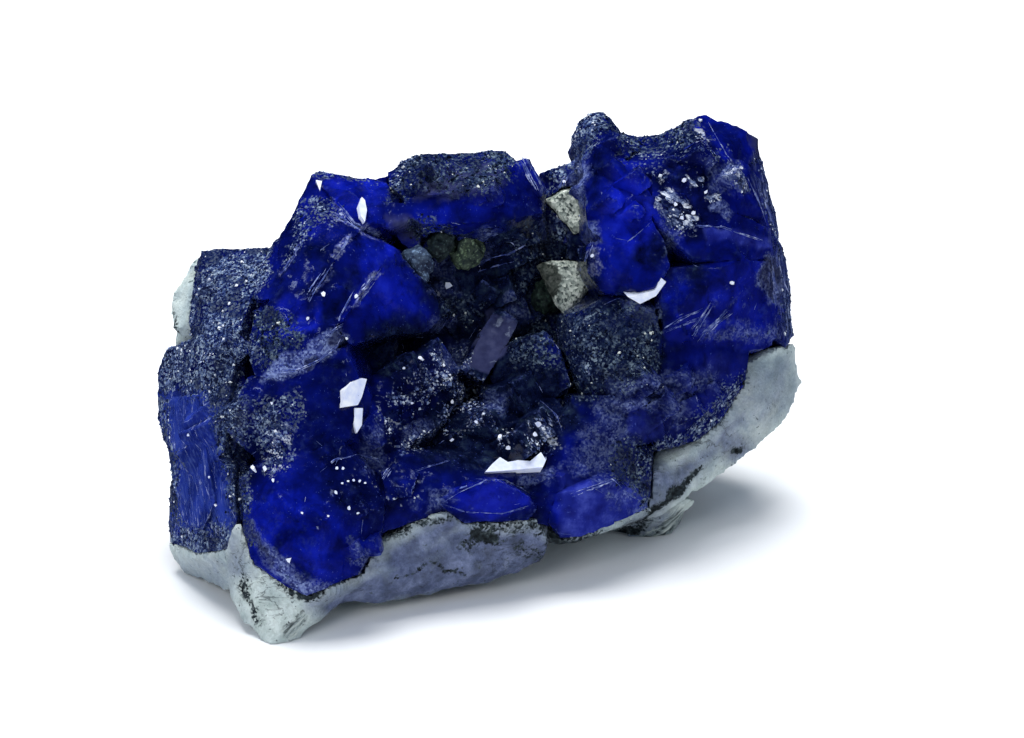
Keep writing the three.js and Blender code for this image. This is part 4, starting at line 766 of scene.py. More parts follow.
        (-15.2, -8.6), (-10.7, -8.2), (-5.2, -9), (-2.2, -9.6), (-5.2, -12), (-9.2, -14), (-12, -12.5)]),
]
# The sides and back: how much of each finish there is, from -1 to 1 in slow noise, and that noise's seed.
BACK_FINISHES = {
    "bright": (0.10, 21), "painted_glow": (-0.30, 37), "deep": (-0.02, 36), "violet": (-0.30, 22),
    "slate": (-0.42, 29), "black_and_shade": (-0.16, 23), "haze": (-0.45, 24), "mottle": (-0.36, 25),
    "fibre": (-0.34, 26), "frost": (-0.34, 27), "sugar": (-0.50, 28), "plates": (-0.42, 30),
    "rind": (-0.42, 35),
}
FINISHES = (*BACK_FINISHES, "chips")  # the painted highlight chips lie on the show face alone
# Finishes that are laid grain by grain, and how far each gathers in clumps. Their strengths on the show face
# are drawn in towards one half, to SPECKLED_SHARE of their distance from it.
SPECKLED = {"haze": 0.3, "mottle": 0.8, "frost": 0.6, "sugar": 1.5, "plates": 0.7}
SPECKLED_SHARE = 0.55
SPECKLED_BACK = 0.62  # how strongly they are laid on the sides and back
# The groove between the left flank and the lobe, partly healed over: the share filled in, how soft its edge
# is, and its outline.
HEALED = [
    ("healed", 0.85, 1, [
        (-25.2, 10), (-21, 9.4), (-22, 3), (-22.4, -3), (-22.6, -9), (-22.6, -16), (-25.6, -16), (-27, -8),
        (-27, 0), (-26.4, 5)]),
]
HEALED_RISE = 1.0  # how far the filling stands up towards the front
HEALED_GRADE = 2.5  # how steeply the filling starts, where the surface falls behind its broad shape
# The dip worn into the saddle behind the knob, and how far down it is worn.
DIP = ("dip", 1.0, 1.4, [(14.2, 23.2), (13.8, 28.6), (20.0, 28.6), (18.8, 23.4)])
DIP_DEPTH = 1.3
# the way that the streaks of the plates, the rind and the fibres run, in across, up and out
PLATE_RUN = (0.86, -0.5, 0.0)
RIND_RUN = (0.16, -0.98, -0.1)
FIBRE_RUN = (0.33, -0.94, 0.0)


def finish_marks(points, front):
    """How strongly each finish marks each point: its patches on the show face, slow noise everywhere else."""
    laid = []
    for name, strength, softness, outline in PATCHES:
        if name in SPECKLED:
            strength = 0.5 + (strength - 0.5) * SPECKLED_SHARE
        laid.append((name, strength, softness, outline))
    marks = patch_marks(laid, FINISHES, strayed_sight(points, 31, PATCH_WANDER))
    for name, (level, seed) in BACK_FINISHES.items():
        slow = np.clip(0.5 + 1.3 * (roughness_of(points, BACK_PATCH, seed) + level), 0, 1)
        marks[name] = front * marks[name] + (1 - front) * slow * (SPECKLED_BACK if name in SPECKLED else 1.0)
    marks["chips"] *= front
    for number, (name, clumping) in enumerate(SPECKLED.items()):
        clumps = 0.6 * roughness_of(points, 2.1, 81 + number) + 0.45 * roughness_of(points, 0.9, 91 + number)
        marks[name] = np.clip(marks[name] * (1 + clumping * clumps), 0, 1)
    return marks


def unit(rows):
    """Rows of directions, each made one long."""
    return rows / np.maximum(np.linalg.norm(rows, axis=1), 1e-6)[:, None]


def grains_of(points, size, seed):
    """Rounded grains of that size: 1 at the middle of each, 0 in the joints between them."""
    scaled = points / size + seed * 11.7
    apart = np.array([noise.voronoi(row)[0][:2] for row in scaled.tolist()])
    return np.clip((apart[:, 1] - apart[:, 0]) * 1.6, 0, 1)


def facets_of(points, size, seed):
    """Broken facets of that size: each leans its own way, by about -1 to 1 over its width."""
    noise.seed_set(FACET_SEED)  # noise_vector starts from the clock otherwise
    scaled = points / size + seed * 13.1
    middles = np.array([noise.voronoi(row)[1][0] for row in scaled.tolist()])
    leans = unit(np.array([noise.noise_vector(row) for row in (middles * 5.7).tolist()]))
    return 2 * np.einsum("ij,ij->i", scaled - middles, leans)


def run_noise(points, run, size, stretch, seed):
    """Noise drawn out along a run given in across, up and out."""
    along, side, back = axes_of(run)
    return roughness_of(points @ np.array([along / stretch, side, back]).T, size, seed)


gem = stone_surface("sapphire", *GEM_MESH)
spots = eased(gem, points_of(gem), *GEM_EASING)
move_points(gem, spots)
broad = eased(gem, spots, GEM_BROAD)
healed = patch_marks(HEALED, ("healed",), on_sight_line(spots))["healed"] * facing_front(gem, 1.2)
healed *= np.clip(HEALED_GRADE * (broad - spots) @ OUTWARD, 0, 1)
spots = spots + healed[:, None] * (broad - spots + HEALED_RISE * OUTWARD)
dip = patch_marks([DIP], ("dip",), on_sight_line(spots))["dip"]
spots = spots - DIP_DEPTH * dip[:, None] * UPWARD
move_points(gem, spots)
outs = normals_of(gem)
bulge = proud(gem, spots, GEM_NEAR)
hollowness = proud(gem, spots, GEM_BROAD) * (1 - healed)
gem_marks = finish_marks(spots, facing_front(gem, 0.6))
gem_seam = nearness(spots, "matrix", GEM_SEAM)
patchy = np.clip(0.5 + 1.5 * roughness_of(spots, 2.6, 101) + 0.9 * roughness_of(spots, 1.1, 102), 0, 1)

# the relief of each finish, by its height and size: soft swells and worn edges, then the grains of the
# frosted skins, the sugar, the haze, the facets of the glassy faces, and the streaked finishes
frosted = np.maximum(gem_marks["frost"], gem_marks["mottle"])
grained = np.clip(frosted * 1.8, 0, 1)
crusted = np.maximum(gem_marks["sugar"], np.maximum(gem_marks["rind"], gem_marks["fibre"]))
glassy = 1 - np.clip(1.6 * np.maximum(frosted, crusted), 0, 1)
worn = np.clip(bulge * 1.6, 0, 1) * np.clip(roughness_of(spots, 1.1, 49) + 0.1, 0, 1)
lift = (0.14 * roughness_of(spots, 4.0, 42) + 0.05 * roughness_of(spots, 1.6, 43) - 0.45 * worn
        + grained * (0.12 * (grains_of(spots, 0.9, 44) - 0.5) + 0.16 * roughness_of(spots, 0.8, 45))
        + gem_marks["sugar"] * (0.5 * (grains_of(spots, 1.2, 46) - 0.5) + 0.25 * roughness_of(spots, 0.7, 47))
        + gem_marks["haze"] * 0.08 * roughness_of(spots, 0.9, 48)
        + glassy * (0.13 * facets_of(spots, 3.6, 55) + 0.05 * facets_of(spots, 1.7, 56))
        + gem_marks["plates"] * 0.40 * run_noise(spots, PLATE_RUN, 0.7, 4.0, 50)
        + gem_marks["rind"] * 0.30 * run_noise(spots, RIND_RUN, 0.8, 4.0, 52)
        + gem_marks["fibre"] * 0.14 * run_noise(spots, FIBRE_RUN, 0.7, 8.0, 41))
lift = lift * (1 - 0.7 * gem_seam)
spots = spots + outs * lift[:, None]
spots[:, 2] = np.maximum(spots[:, 2], GEM_FOOT)
move_points(gem, spots)
for name, values in {"bulge": bulge, "hollowness": hollowness, "patchy": patchy, **gem_marks}.items():
    mark(gem, name, values)

gem_finish, tree, shader = new_material("sapphire")
spots_mm = millimetres(tree)
paleness, from_middle = grain_cells(spots_mm, 4.8)
clouded = plus(times(paleness, 0.55), times(soft_noise(spots_mm, 1.3, 5, 0.65), 0.75))


def speckled(name, size, softness=0.16):
    """A patch of the sapphire that is laid crystal by crystal."""
    return ragged(name, spots_mm, size, softness, paleness, 0.5, 0.9)


# the body colour, then glassy blue, a brighter blue painted as glow, darker parts painted as shade, violet,
# and black parts that are partly painted shade
colour = graded(soft_noise(spots_mm, 4.0, 5, 0.6), (0.36, 2, 7, 46), (0.52, 4, 12, 84), (0.68, 8, 20, 118))
colour = overlaid(ragged("bright", spots_mm, 2.4, 0.8), colour, graded(
    soft_noise(spots_mm, 3.0, 5, 0.6, 0.5), (0.32, 2, 7, 64), (0.5, 5, 16, 117), (0.68, 13, 29, 160)))
# painted glow: a brighter blue where faces that lie in shade are bright
colour = overlaid(ragged("painted_glow", spots_mm, 2.0, 0.9), colour, graded(
    soft_noise(spots_mm, 2.6, 5, 0.6), (0.32, 5, 16, 116), (0.52, 12, 26, 160), (0.7, 26, 42, 190)))
colour = overlaid(between(soft_noise(spots_mm, 1.7, 6, 0.68, 0.4), 0.52, 0.7, 0.75), colour, srgb(2, 6, 50))
# painted shade: the deep parts
colour = overlaid(ragged("deep", spots_mm, 2.0, 0.9), colour, graded(
    soft_noise(spots_mm, 1.4, 5, 0.65), (0.35, 1, 4, 30), (0.55, 4, 10, 60), (0.72, 12, 22, 96)))
colour = overlaid(ragged("violet", spots_mm, 1.6), colour, graded(
    soft_noise(spots_mm, 2.2, 5, 0.6), (0.3, 10, 16, 90), (0.52, 28, 38, 130), (0.72, 62, 74, 166)))
# black parts: partly the stone's own black, partly painted shade in the hollow and under overhangs
black_and_shade = ragged("black_and_shade", spots_mm, 1.8, 0.7)
colour = overlaid(black_and_shade, colour, graded(
    soft_noise(spots_mm, 1.2, 6, 0.7),
    (0.36, 2, 5, 20), (0.52, 9, 16, 46), (0.64, 30, 42, 62), (0.78, 66, 80, 86)))
# painted shade darkens the deep hollows, and pale dust and a smoky film drift over the faces
colour = overlaid(between(marked(tree, "hollowness"), 0.0, -1.8, 0.5), colour, srgb(3, 8, 40))
dust = times(beyond(soft_noise(spots_mm, 0.22, 2, 0.5), 0.69), beyond(soft_noise(spots_mm, 3.0, 3), 0.53))
colour = overlaid(times(dust, 0.4), colour, srgb(80, 98, 180))
smoke = times(between(soft_noise(spots_mm, 0.9, 6, 0.72), 0.52, 0.74, 0.32),
              between(soft_noise(spots_mm, 4.6, 3), 0.45, 0.6))
colour = overlaid(smoke, colour, srgb(52, 68, 118))
colour = overlaid(ragged("slate", spots_mm, 1.4), colour, graded(
    soft_noise(spots_mm, 1.8, 4), (0.3, 38, 42, 76), (0.55, 58, 62, 98), (0.75, 80, 84, 120)))
# frosted skins: each small crystal has its own paleness
haze = ragged("haze", spots_mm, 1.0, 0.5)
colour = overlaid(times(haze, 0.85), colour, graded(
    clouded, (0.32, 20, 30, 94), (0.6, 58, 72, 140), (0.9, 128, 144, 194)))
mottle = speckled("mottle", 1.0, 0.5)
colour = overlaid(mottle, colour, graded(
    clouded, (0.34, 3, 8, 34), (0.54, 15, 26, 62), (0.74, 42, 58, 90), (0.95, 104, 120, 134)))
fibre = ragged("fibre", spots_mm, 1.4)
fibre_streak = soft_noise(drawn_out(spots_mm, FIBRE_RUN, 14.0), 0.22, 4, 0.65)
colour = overlaid(times(fibre, 0.85), colour, graded(
    soft_noise(spots_mm, 2.4, 4), (0.35, 12, 27, 98), (0.65, 38, 58, 150)))
colour = overlaid(times(fibre, between(fibre_streak, 0.5, 0.72, 0.55)), colour, srgb(78, 98, 158))
frost = speckled("frost", 1.2, 0.3)
colour = overlaid(frost, colour, graded(
    clouded, (0.32, 6, 14, 50), (0.5, 30, 45, 92), (0.7, 70, 90, 132), (0.95, 150, 166, 184)))
sugar = speckled("sugar", 1.4)
colour = overlaid(sugar, colour, graded(
    clouded, (0.45, 3, 8, 34), (0.66, 20, 32, 76), (0.82, 88, 104, 152), (0.96, 206, 216, 230)))
plates = speckled("plates", 1.0, 0.4)
plate_paleness = grain_cells(drawn_out(spots_mm, PLATE_RUN, 2.2), 1.7)[0]
plate_streak = plus(times(plate_paleness, 0.34),
                    times(soft_noise(drawn_out(spots_mm, PLATE_RUN, 4.0), 0.30, 4, 0.65), 0.68))
colour = overlaid(plates, colour, graded(
    plate_streak, (0.40, 8, 14, 44), (0.5, 52, 66, 108), (0.58, 118, 132, 168), (0.68, 222, 228, 240)))
rind = ragged("rind", spots_mm, 1.4, 0.9)
rind_streak = soft_noise(drawn_out(spots_mm, RIND_RUN, 9.0), 0.34, 4, 0.65)
colour = overlaid(rind, colour, graded(
    rind_streak, (0.36, 10, 18, 54), (0.5, 50, 62, 110), (0.58, 92, 104, 150), (0.70, 168, 180, 206)))
# painted highlights along the ribs' edges, laid as pale chips
chips = ragged("chips", spots_mm, 0.6, 0.4)
colour = overlaid(times(chips, 0.8), colour, graded(
    clouded, (0.35, 30, 40, 130), (0.65, 88, 100, 178), (0.9, 176, 186, 226)))
skin = maths("MAXIMUM", maths("MAXIMUM", frost, mottle), maths("MAXIMUM", haze, chips))
grainy = maths("MAXIMUM", skin, sugar)
# bare spots in the frosted skins, painted highlights on the standing ridges, and painted shade in the creases
# between crystals and faces
bare = times(grainy, between(marked(tree, "patchy"), 0.45, 0.1, 0.75))
colour = overlaid(bare, colour, srgb(5, 12, 52))
ridge_highlight = times(between(marked(tree, "bulge"), 0.25, 0.7), beyond(soft_noise(spots_mm, 0.5, 4, 0.6), 0.55))
colour = overlaid(times(ridge_highlight, 0.4), colour, srgb(84, 100, 160))
crease_shade = times(between(marked(tree, "bulge"), -0.1, -0.7, 0.92), less(1.0, times(skin, 0.6)))
colour = overlaid(crease_shade, colour, overlaid(black_and_shade, srgb(3, 8, 42), srgb(1, 3, 12)))
relief = times(plus(paleness, from_middle), grainy)
relief = plus(relief, times(times(fibre_streak, 1.2), fibre))
relief = plus(relief, times(times(plate_streak, 2.0), plates))
relief = plus(relief, times(times(rind_streak, 2.0), rind))
relief = plus(relief, times(soft_noise(spots_mm, 1.3, 3, 0.5), 0.5))
bumped(shader, relief, 0.0002)
dullness = maths("MAXIMUM", times(skin, 0.5), 0.14)
feed(shader, {"Base Color": colour, "Roughness": dullness, "IOR": 1.77, "Specular IOR Level": 0.18})
set_in_place("sapphire_mass", gem, gem_finish, "sapphire", "sapphire")

# ---------------------------------------------------------------- druse of small crystals
# Thousands of tiny sapphire crystals, a fraction of a millimetre wide, grown on the frosted and sugary skins.
# They are stubby double pyramids standing on the surface they grew from, their feet sunk in it.
DRUSE_COUNT = 22000
DRUSE_WIDTHS = (0.15, 0.50)  # smallest and largest, most of them small
DRUSE_TALL = (0.5, 0.9)  # how tall they are for their width, least and most
DRUSE_LONG = (0.7, 1.3)  # and how long
DRUSE_LEAN = 0.45  # how far they lean from the surface
# the white ones are painted glints, for crystals that catch the light
DRUSE_GLINT_WHITE = 0.03  # the share of them that is white, whatever grows around
DRUSE_BARE = 0.35  # how thickly they still grow in the bare spots, for 1.35 in the fullest
# for each finish: how thickly the crystals grow on it, and how pale they are, from and to
DRUSE_GROWTH = {"frost": (1.0, 0.03, 0.58), "mottle": (0.7, 0.0, 0.42), "sugar": (1.3, 0.03, 1.0),
                "haze": (0.05, 0.2, 0.5), "plates": (0.35, 0.2, 1.0), "rind": (0.5, 0.05, 0.6)}
CORNERS = np.array([(1, 0, 0), (0, 1, 0), (-1, 0, 0), (0, -1, 0), (0, 0, 1), (0, 0, -1)])
SIDES = np.array([(0, 1, 4), (1, 2, 4), (2, 3, 4), (3, 0, 4), (1, 0, 5), (2, 1, 5), (3, 2, 5), (0, 3, 5)])

chance = np.random.default_rng(7)
gem.calc_loop_triangles()
triangles = np.array([t.vertices for t in gem.loop_triangles])
corners = points_of(gem)[triangles] / MM
crosses = np.cross(corners[:, 1] - corners[:, 0], corners[:, 2] - corners[:, 0])
areas = np.linalg.norm(crosses, axis=1) / 2
off_seam = (1 - gem_seam[triangles].mean(1)) ** 3
growth = np.array([weight * np.clip(gem_marks[name] * 2 - 0.35, 0, 1)[triangles].mean(1)
                   for name, (weight, low, high) in DRUSE_GROWTH.items()])
thickly = patchy[triangles].mean(1)
shares = areas * growth.sum(0) * off_seam * (DRUSE_BARE + thickly)
picked = chance.choice(len(triangles), DRUSE_COUNT, p=shares / shares.sum())
mix = chance.dirichlet((1, 1, 1), DRUSE_COUNT)
feet = np.einsum("ij,ijk->ik", mix, corners[picked])
ups = unit(unit(crosses[picked]) + chance.normal(0, DRUSE_LEAN, (DRUSE_COUNT, 3)))
firsts = unit(np.cross(ups, chance.normal(0, 1, (DRUSE_COUNT, 3))))
widths = DRUSE_WIDTHS[0] + (DRUSE_WIDTHS[1] - DRUSE_WIDTHS[0]) * chance.random(DRUSE_COUNT) ** 4
longs, talls = (chance.uniform(*limits, DRUSE_COUNT) for limits in (DRUSE_LONG, DRUSE_TALL))
sizes = widths[:, None] * np.column_stack([np.ones(DRUSE_COUNT), longs, talls]) / 2
axes = np.stack([firsts, np.cross(ups, firsts), ups], 1) * sizes[:, :, None]
druse_points = feet[:, None, :] + np.einsum("cj,njk->nck", CORNERS, axes)
druse_faces = (SIDES[None] + len(CORNERS) * np.arange(DRUSE_COUNT)[:, None, None]).reshape(-1, 3)
druse = bpy.data.meshes.new("druse_crystals")
druse.from_pydata(druse_points.reshape(-1, 3).tolist(), [], druse_faces.tolist())
portions = growth[:, picked] / growth[:, picked].sum(0)
lows, highs = (np.array([values[k] for values in DRUSE_GROWTH.values()]) @ portions for k in (1, 2))
clear = lows + (highs - lows) * chance.random(DRUSE_COUNT) ** 2.1 * (0.45 + 0.85 * thickly[picked])
clear = np.where(chance.random(DRUSE_COUNT) < DRUSE_GLINT_WHITE, 1.0, clear)
mark(druse, "clear", np.repeat(clear, len(CORNERS)))
mark(druse, "greyed", np.repeat(portions[list(DRUSE_GROWTH).index("mottle")], len(CORNERS)))

druse_finish, tree, shader = new_material("druse")
blue = graded(marked(tree, "clear"),
              (0.0, 6, 14, 54), (0.3, 40, 56, 108), (0.65, 116, 134, 174), (1.0, 226, 232, 242))
grey = graded(marked(tree, "clear"),
              (0.0, 6, 12, 32), (0.3, 34, 48, 76), (0.65, 98, 114, 130), (1.0, 210, 216, 210))
feed(shader, {"Base Color": overlaid(marked(tree, "greyed"), blue, grey), "Roughness": 0.3, "IOR": 1.77,
              "Specular IOR Level": 0.3})
set_in_place("druse_crystals", druse, druse_finish, "sapphire", crisp=5)

# ---------------------------------------------------------------- pale lines and painted edge highlights
# Fine pale ridges where cleavage comes to the surface: around plates, as scratches, and as fibres on the left
# flank. Along the ribs they are painted highlights, standing for light caught on the rib edges. Each is a
# thin three-sided sliver, half sunk in the sapphire.
# Lines of the show face: width, then the path in across and up.
LINES = [
    # ribs and the forked ridge above them: painted highlights on their edges
    (0.26, [(-17.8, 14), (-18.6, 12.8), (-19.4, 11.6), (-20, 10.6)]),
    (0.3, [(-13, 14.8), (-13.8, 13.4), (-14.6, 12.2)]),
    (0.22, [(-14.8, 11.8), (-16, 10), (-16.9, 8.7), (-17.4, 7.6)]),
    (0.26, [(-10.1, 11.1), (-11.1, 9.9), (-12.1, 8.9)]),
    (0.2, [(-12.8, 9), (-13.6, 7.6), (-14.2, 6.4), (-14.6, 5)]),
    (0.2, [(-10.7, 9.8), (-11.6, 8.7), (-12.5, 7.7)]),
    (0.28, [(-14.4, 17.8), (-13.6, 16.8), (-12.7, 15.7), (-11.8, 15.2)]),
    (0.28, [(-15, 16.9), (-13.8, 16), (-12.4, 15.2), (-11.6, 14.9)]),
    (0.22, [(-11.6, 15), (-10.4, 14.6), (-9.4, 14.1), (-8.7, 13.7), (-8.2, 12.6)]),
    (0.2, [(-18.2, 20.6), (-16.4, 20.8), (-14.2, 20.6), (-12.6, 20.4)]),
    (0.18, [(-12.4, 18.8), (-12, 17), (-11.8, 15.8)]),
    # lens
    (0.2, [(-22, 0.9), (-20.5, 0.7), (-18.4, 0.9), (-16.4, 1.8), (-14.6, 3.2), (-13.9, 4.6), (-13.8, 5.4)]),
    (0.35, [(-23.4, 2.4), (-22.9, 1.2), (-22.6, -0.1)]),
    (0.16, [(-16.2, 4), (-14.8, 5), (-13.8, 5.6)]),
    # top of the crusted block, and the pale bar beside it
    (0.3, [(3.8, 22.2), (4.6, 20.4), (5.6, 18.7)]),
    (0.26, [(4.4, 22.2), (5.2, 20.8), (6, 19.2)]),
    (0.55, [(9.6, 21.4), (8.6, 20.4), (8.1, 19.4), (8.4, 18)]),
    (0.3, [(11.2, 14.2), (10.6, 13), (10.2, 11.6)]),
    (0.16, [(16.8, 15.7), (15.8, 14.8), (14.4, 13.7)]),
    (0.22, [(-0.8, 11.6), (0.8, 12.2), (2.6, 12.6), (4.4, 13.6)]),
    (0.14, [(-0.4, 10.8), (1.4, 11.4), (3.4, 11.9)]),
    # right block: plates, scratches and band
    (0.22, [(18.1, 5.1), (19.8, 6.2), (22, 7.1)]),
    (0.16, [(18.3, 4.9), (20.8, 5.8), (22.6, 6.5)]),
    (0.26, [(21, 4), (22.1, 5.8), (23.2, 7.6)]),
    (0.2, [(21.5, 3.8), (23, 5.5), (24.7, 7.2)]),
    (0.22, [(22.1, 4.4), (23.6, 5.8), (25, 6.8)]),
    (0.16, [(20.8, 5), (21.8, 6.2), (23, 8)]),
    (0.16, [(19, 5.5), (20.8, 6.5), (22.4, 7.4)]),
    (0.2, [(21.2, 15.4), (23.8, 15.3), (26.4, 14.4), (28.2, 13.8)]),
    (0.18, [(22.6, 25.8), (23.4, 24.4), (24.4, 22.6), (26.4, 20)]),
    (0.22, [(26.6, 20.2), (28, 17), (28.8, 14.4)]),
    (0.26, [(27.6, 19.6), (28.8, 16.4), (29.6, 13.6)]),
    (0.2, [(29.4, 12.6), (30.2, 9.8), (31.4, 7)]),
    (0.24, [(28.8, 12.8), (29.2, 10), (29.4, 7.2)]),
    # lower middle: blade and lozenge with pale rims
    (0.24, [(-4, -12.3), (-2.2, -11.2), (0.4, -10), (2.4, -10), (4.6, -11.2)]),
    (0.14, [(-4, -12.4), (-1.4, -13.2), (2, -13.4), (4.8, -12.6)]),
    (0.2, [(8.8, -11.4), (11, -10.6), (13.1, -9.9), (14.2, -11)]),
    (0.18, [(14.2, -11), (16, -12.2)]),
    (0.2, [(-9.9, -10), (-9.4, -9.2), (-8.9, -8.5)]),
    (0.16, [(5.8, -2), (7.4, -3.4), (8.2, -5.6)]),
    (0.22, [(-6.8, -9.2), (-5, -8.6), (-3, -8)]),
    (0.16, [(-16.2, -9.2), (-14.6, -8), (-12.4, -7.4), (-10.4, -8), (-9.4, -9.6)]),
]
LONG_STRAND = 0.55  # width of the strand that runs the whole line, as a share of the line's
STRANDS = 4  # shorter strands beside it
STRAND_WIDTHS = (0.4, 0.95)  # their least and greatest widths, as shares of the line's
STRAND_ASIDE = 0.55  # how far aside they lie, as a share of the line's width
SLIVER_SUNK, SLIVER_PROUD = 0.3, 0.42  # how deep and how high a sliver goes for its width
SLIVER_UNEVEN = (0.35, 1.3)  # its width varies between these shares along its way
FIBRES = 520  # on the left flank
FIBRE_WIDTH = 0.075
FIBRE_LENGTHS = (0.8, 3.2)  # shortest and longest
SCRATCHES = 90  # all over, at random
SCRATCH_WIDTH = 0.09
LINE_STEP = 0.25  # between the points of a sliver
LINE_JUMP = 1.2  # a line breaks off where the surface behind it drops further than this
gem_surface = surface_tree(gem)
line_points, line_faces = [], []


def add_sliver(track, width):
    """A thin sliver along a track of (point, normal) pairs, three-sided, fading at both ends."""
    if len(track) < 3:
        return
    first = len(line_points)
    for k, (point, out) in enumerate(track):
        ahead = (track[min(k + 1, len(track) - 1)][0] - track[max(k - 1, 0)][0]).normalized()
        side = ahead.cross(out).normalized()
        full = width * math.sin(math.pi * (k + 0.35) / (len(track) - 0.3)) ** 0.6
        full *= chance.uniform(*SLIVER_UNEVEN)
        for corner in (-side * 0.5 - out * SLIVER_SUNK, side * 0.5 - out * SLIVER_SUNK, out * SLIVER_PROUD):
            line_points.append(point + corner * full)
    for k in range(len(track) - 1):
        for a, b in ((0, 1), (1, 2), (2, 0)):
            low = first + 3 * k
            line_faces.append((low + b, low + a, low + 3 + a, low + 3 + b))
    last = first + 3 * (len(track) - 1)
    line_faces.extend([(first, first + 1, first + 2), (last + 2, last + 1, last)])


def sight_of(across, up):
    """The way from the eye to a spot of the show face."""
    return (from_face(across, up) - eye).normalized()


def seen_tracks(path):
    """Points of the sapphire seen along a path of the show face, in runs with no jump in depth."""
    runs, run = [], []
    for (ax, ay), (bx, by) in zip(path, path[1:]):
        count = max(2, round(math.hypot(bx - ax, by - ay) / LINE_STEP))
        for k in range(count):
            share = k / count
            sight = sight_of(ax + (bx - ax) * share, ay + (by - ay) * share)
            point, out = gem_surface.ray_cast(eye, sight)[:2]
            if run and (point is None or (point - run[-1][0]).length > LINE_JUMP):
                runs, run = runs + [run], []
            if point is not None:
                run.append((point, out))
    return runs + [run]


def crawled_track(start, heading, length):
    """Points of the sapphire's surface from a start, along a heading."""
    point, out = gem_surface.find_nearest(start)[:2]
    track = []
    for _ in range(max(3, round(length / LINE_STEP))):
        track.append((point, out))
        ahead = heading - out * heading.dot(out)
        if ahead.length < 0.3:
            break
        point, out = gem_surface.find_nearest(point + ahead.normalized() * LINE_STEP)[:2]
    return track


for width, path in LINES:
    for track in seen_tracks(path):
        if len(track) < 4:
            continue
        # one strand runs the whole way, and shorter ones lie beside it
        add_sliver(track, width * LONG_STRAND)
        for _ in range(STRANDS):
            first, last = sorted(chance.integers(0, len(track), 2))
            aside = Vector(chance.normal(0, STRAND_ASIDE * width, 3))
            add_sliver([(point + aside - out * aside.dot(out), out) for point, out in track[first:last + 3]],
                       width * chance.uniform(*STRAND_WIDTHS))
# most fibres run along the flank, and one in five crosses them
fibre_way, crossing_way = axes_of(FIBRE_RUN)[0], Vector((0.8, 0, -0.6))
fibre_shares = areas * np.clip(gem_marks["fibre"] * 2 - 0.6, 0, 1)[triangles].mean(1)
for k in chance.choice(len(triangles), FIBRES, p=fibre_shares / fibre_shares.sum()):
    lean = Vector(chance.normal(0, 0.16, 3)) + (fibre_way if chance.random() < 0.8 else crossing_way)
    track = crawled_track(Vector(corners[k].mean(0)), lean.normalized(), chance.uniform(*FIBRE_LENGTHS))
    add_sliver(track, FIBRE_WIDTH)
# scratches lie where few crystals grow
plain = areas * np.clip(1 - growth.sum(0) * 1.5, 0.05, 1) * off_seam
for k in chance.choice(len(triangles), SCRATCHES, p=plain / plain.sum()):
    heading = Vector(chance.normal(0, 1, 3)).normalized()
    track = crawled_track(Vector(corners[k].mean(0)), heading, 0.6 + 1.6 * chance.random() ** 2)
    add_sliver(track, SCRATCH_WIDTH)
lines = bpy.data.meshes.new("line_and_edge_highlights")
lines.from_pydata(line_points, [], line_faces)

# pale: painted highlights on the ribs' edges, the stone's own pale lines elsewhere
line_finish, tree, shader = new_material("line_and_edge_highlight")
colour = graded(soft_noise(millimetres(tree), 0.8, 4, 0.6),
                (0.34, 40, 54, 124), (0.5, 90, 106, 172), (0.66, 178, 188, 222))
feed(shader, {"Base Color": colour, "Roughness": 0.35, "Specular IOR Level": 0.3})
set_in_place("line_and_edge_highlights", lines, line_finish, "sapphire", crisp=30)

# ---------------------------------------------------------------- cleavage steps
# Small flat steps where a crystal has cleaved: glassy facets standing a little proud of what is around,
# painted near-white as glints, for the light they catch.
# Each lies along the surface it belongs to, with its sides sunk in the sapphire.
STEP_PROUD = 0.06  # how far a step clears the surface at its highest
STEP_DEPTH = 1.8  # from a step's top to its sunk underside
STEP_TURN = 0.4  # how far a step is turned from its own face towards the front
STEPS = [
    [(-13.7, -1), (-13, -0.2), (-12, 0.2), (-11.5, 0.1), (-12, -1.7), (-12.4, -2.5), (-13.7, -2.7)],
    [(-12.7, -2.8), (-11.9, -2.8), (-12, -4.5), (-12.5, -5.3), (-12.8, -4.4)],
    [(0.3, -9.2), (1, -8.4), (1.8, -7.7), (2.6, -8.2), (3.6, -8), (4.8, -8.1), (5.9, -7.2), (6.4, -8),
     (6.1, -8.7), (3, -9)],
    [(14.6, 8.3), (15.4, 8.4), (17.3, 9), (18, 10.1), (18.4, 9.8), (17.4, 8.4), (15.8, 7.6)],
    [(-12, 18.3), (-11.7, 18), (-11.5, 17), (-11.7, 15.8), (-12.1, 16.4), (-12.3, 17.4)],
    [(-16.6, 20), (-16, 19.9), (-16.2, 18.9)],
]
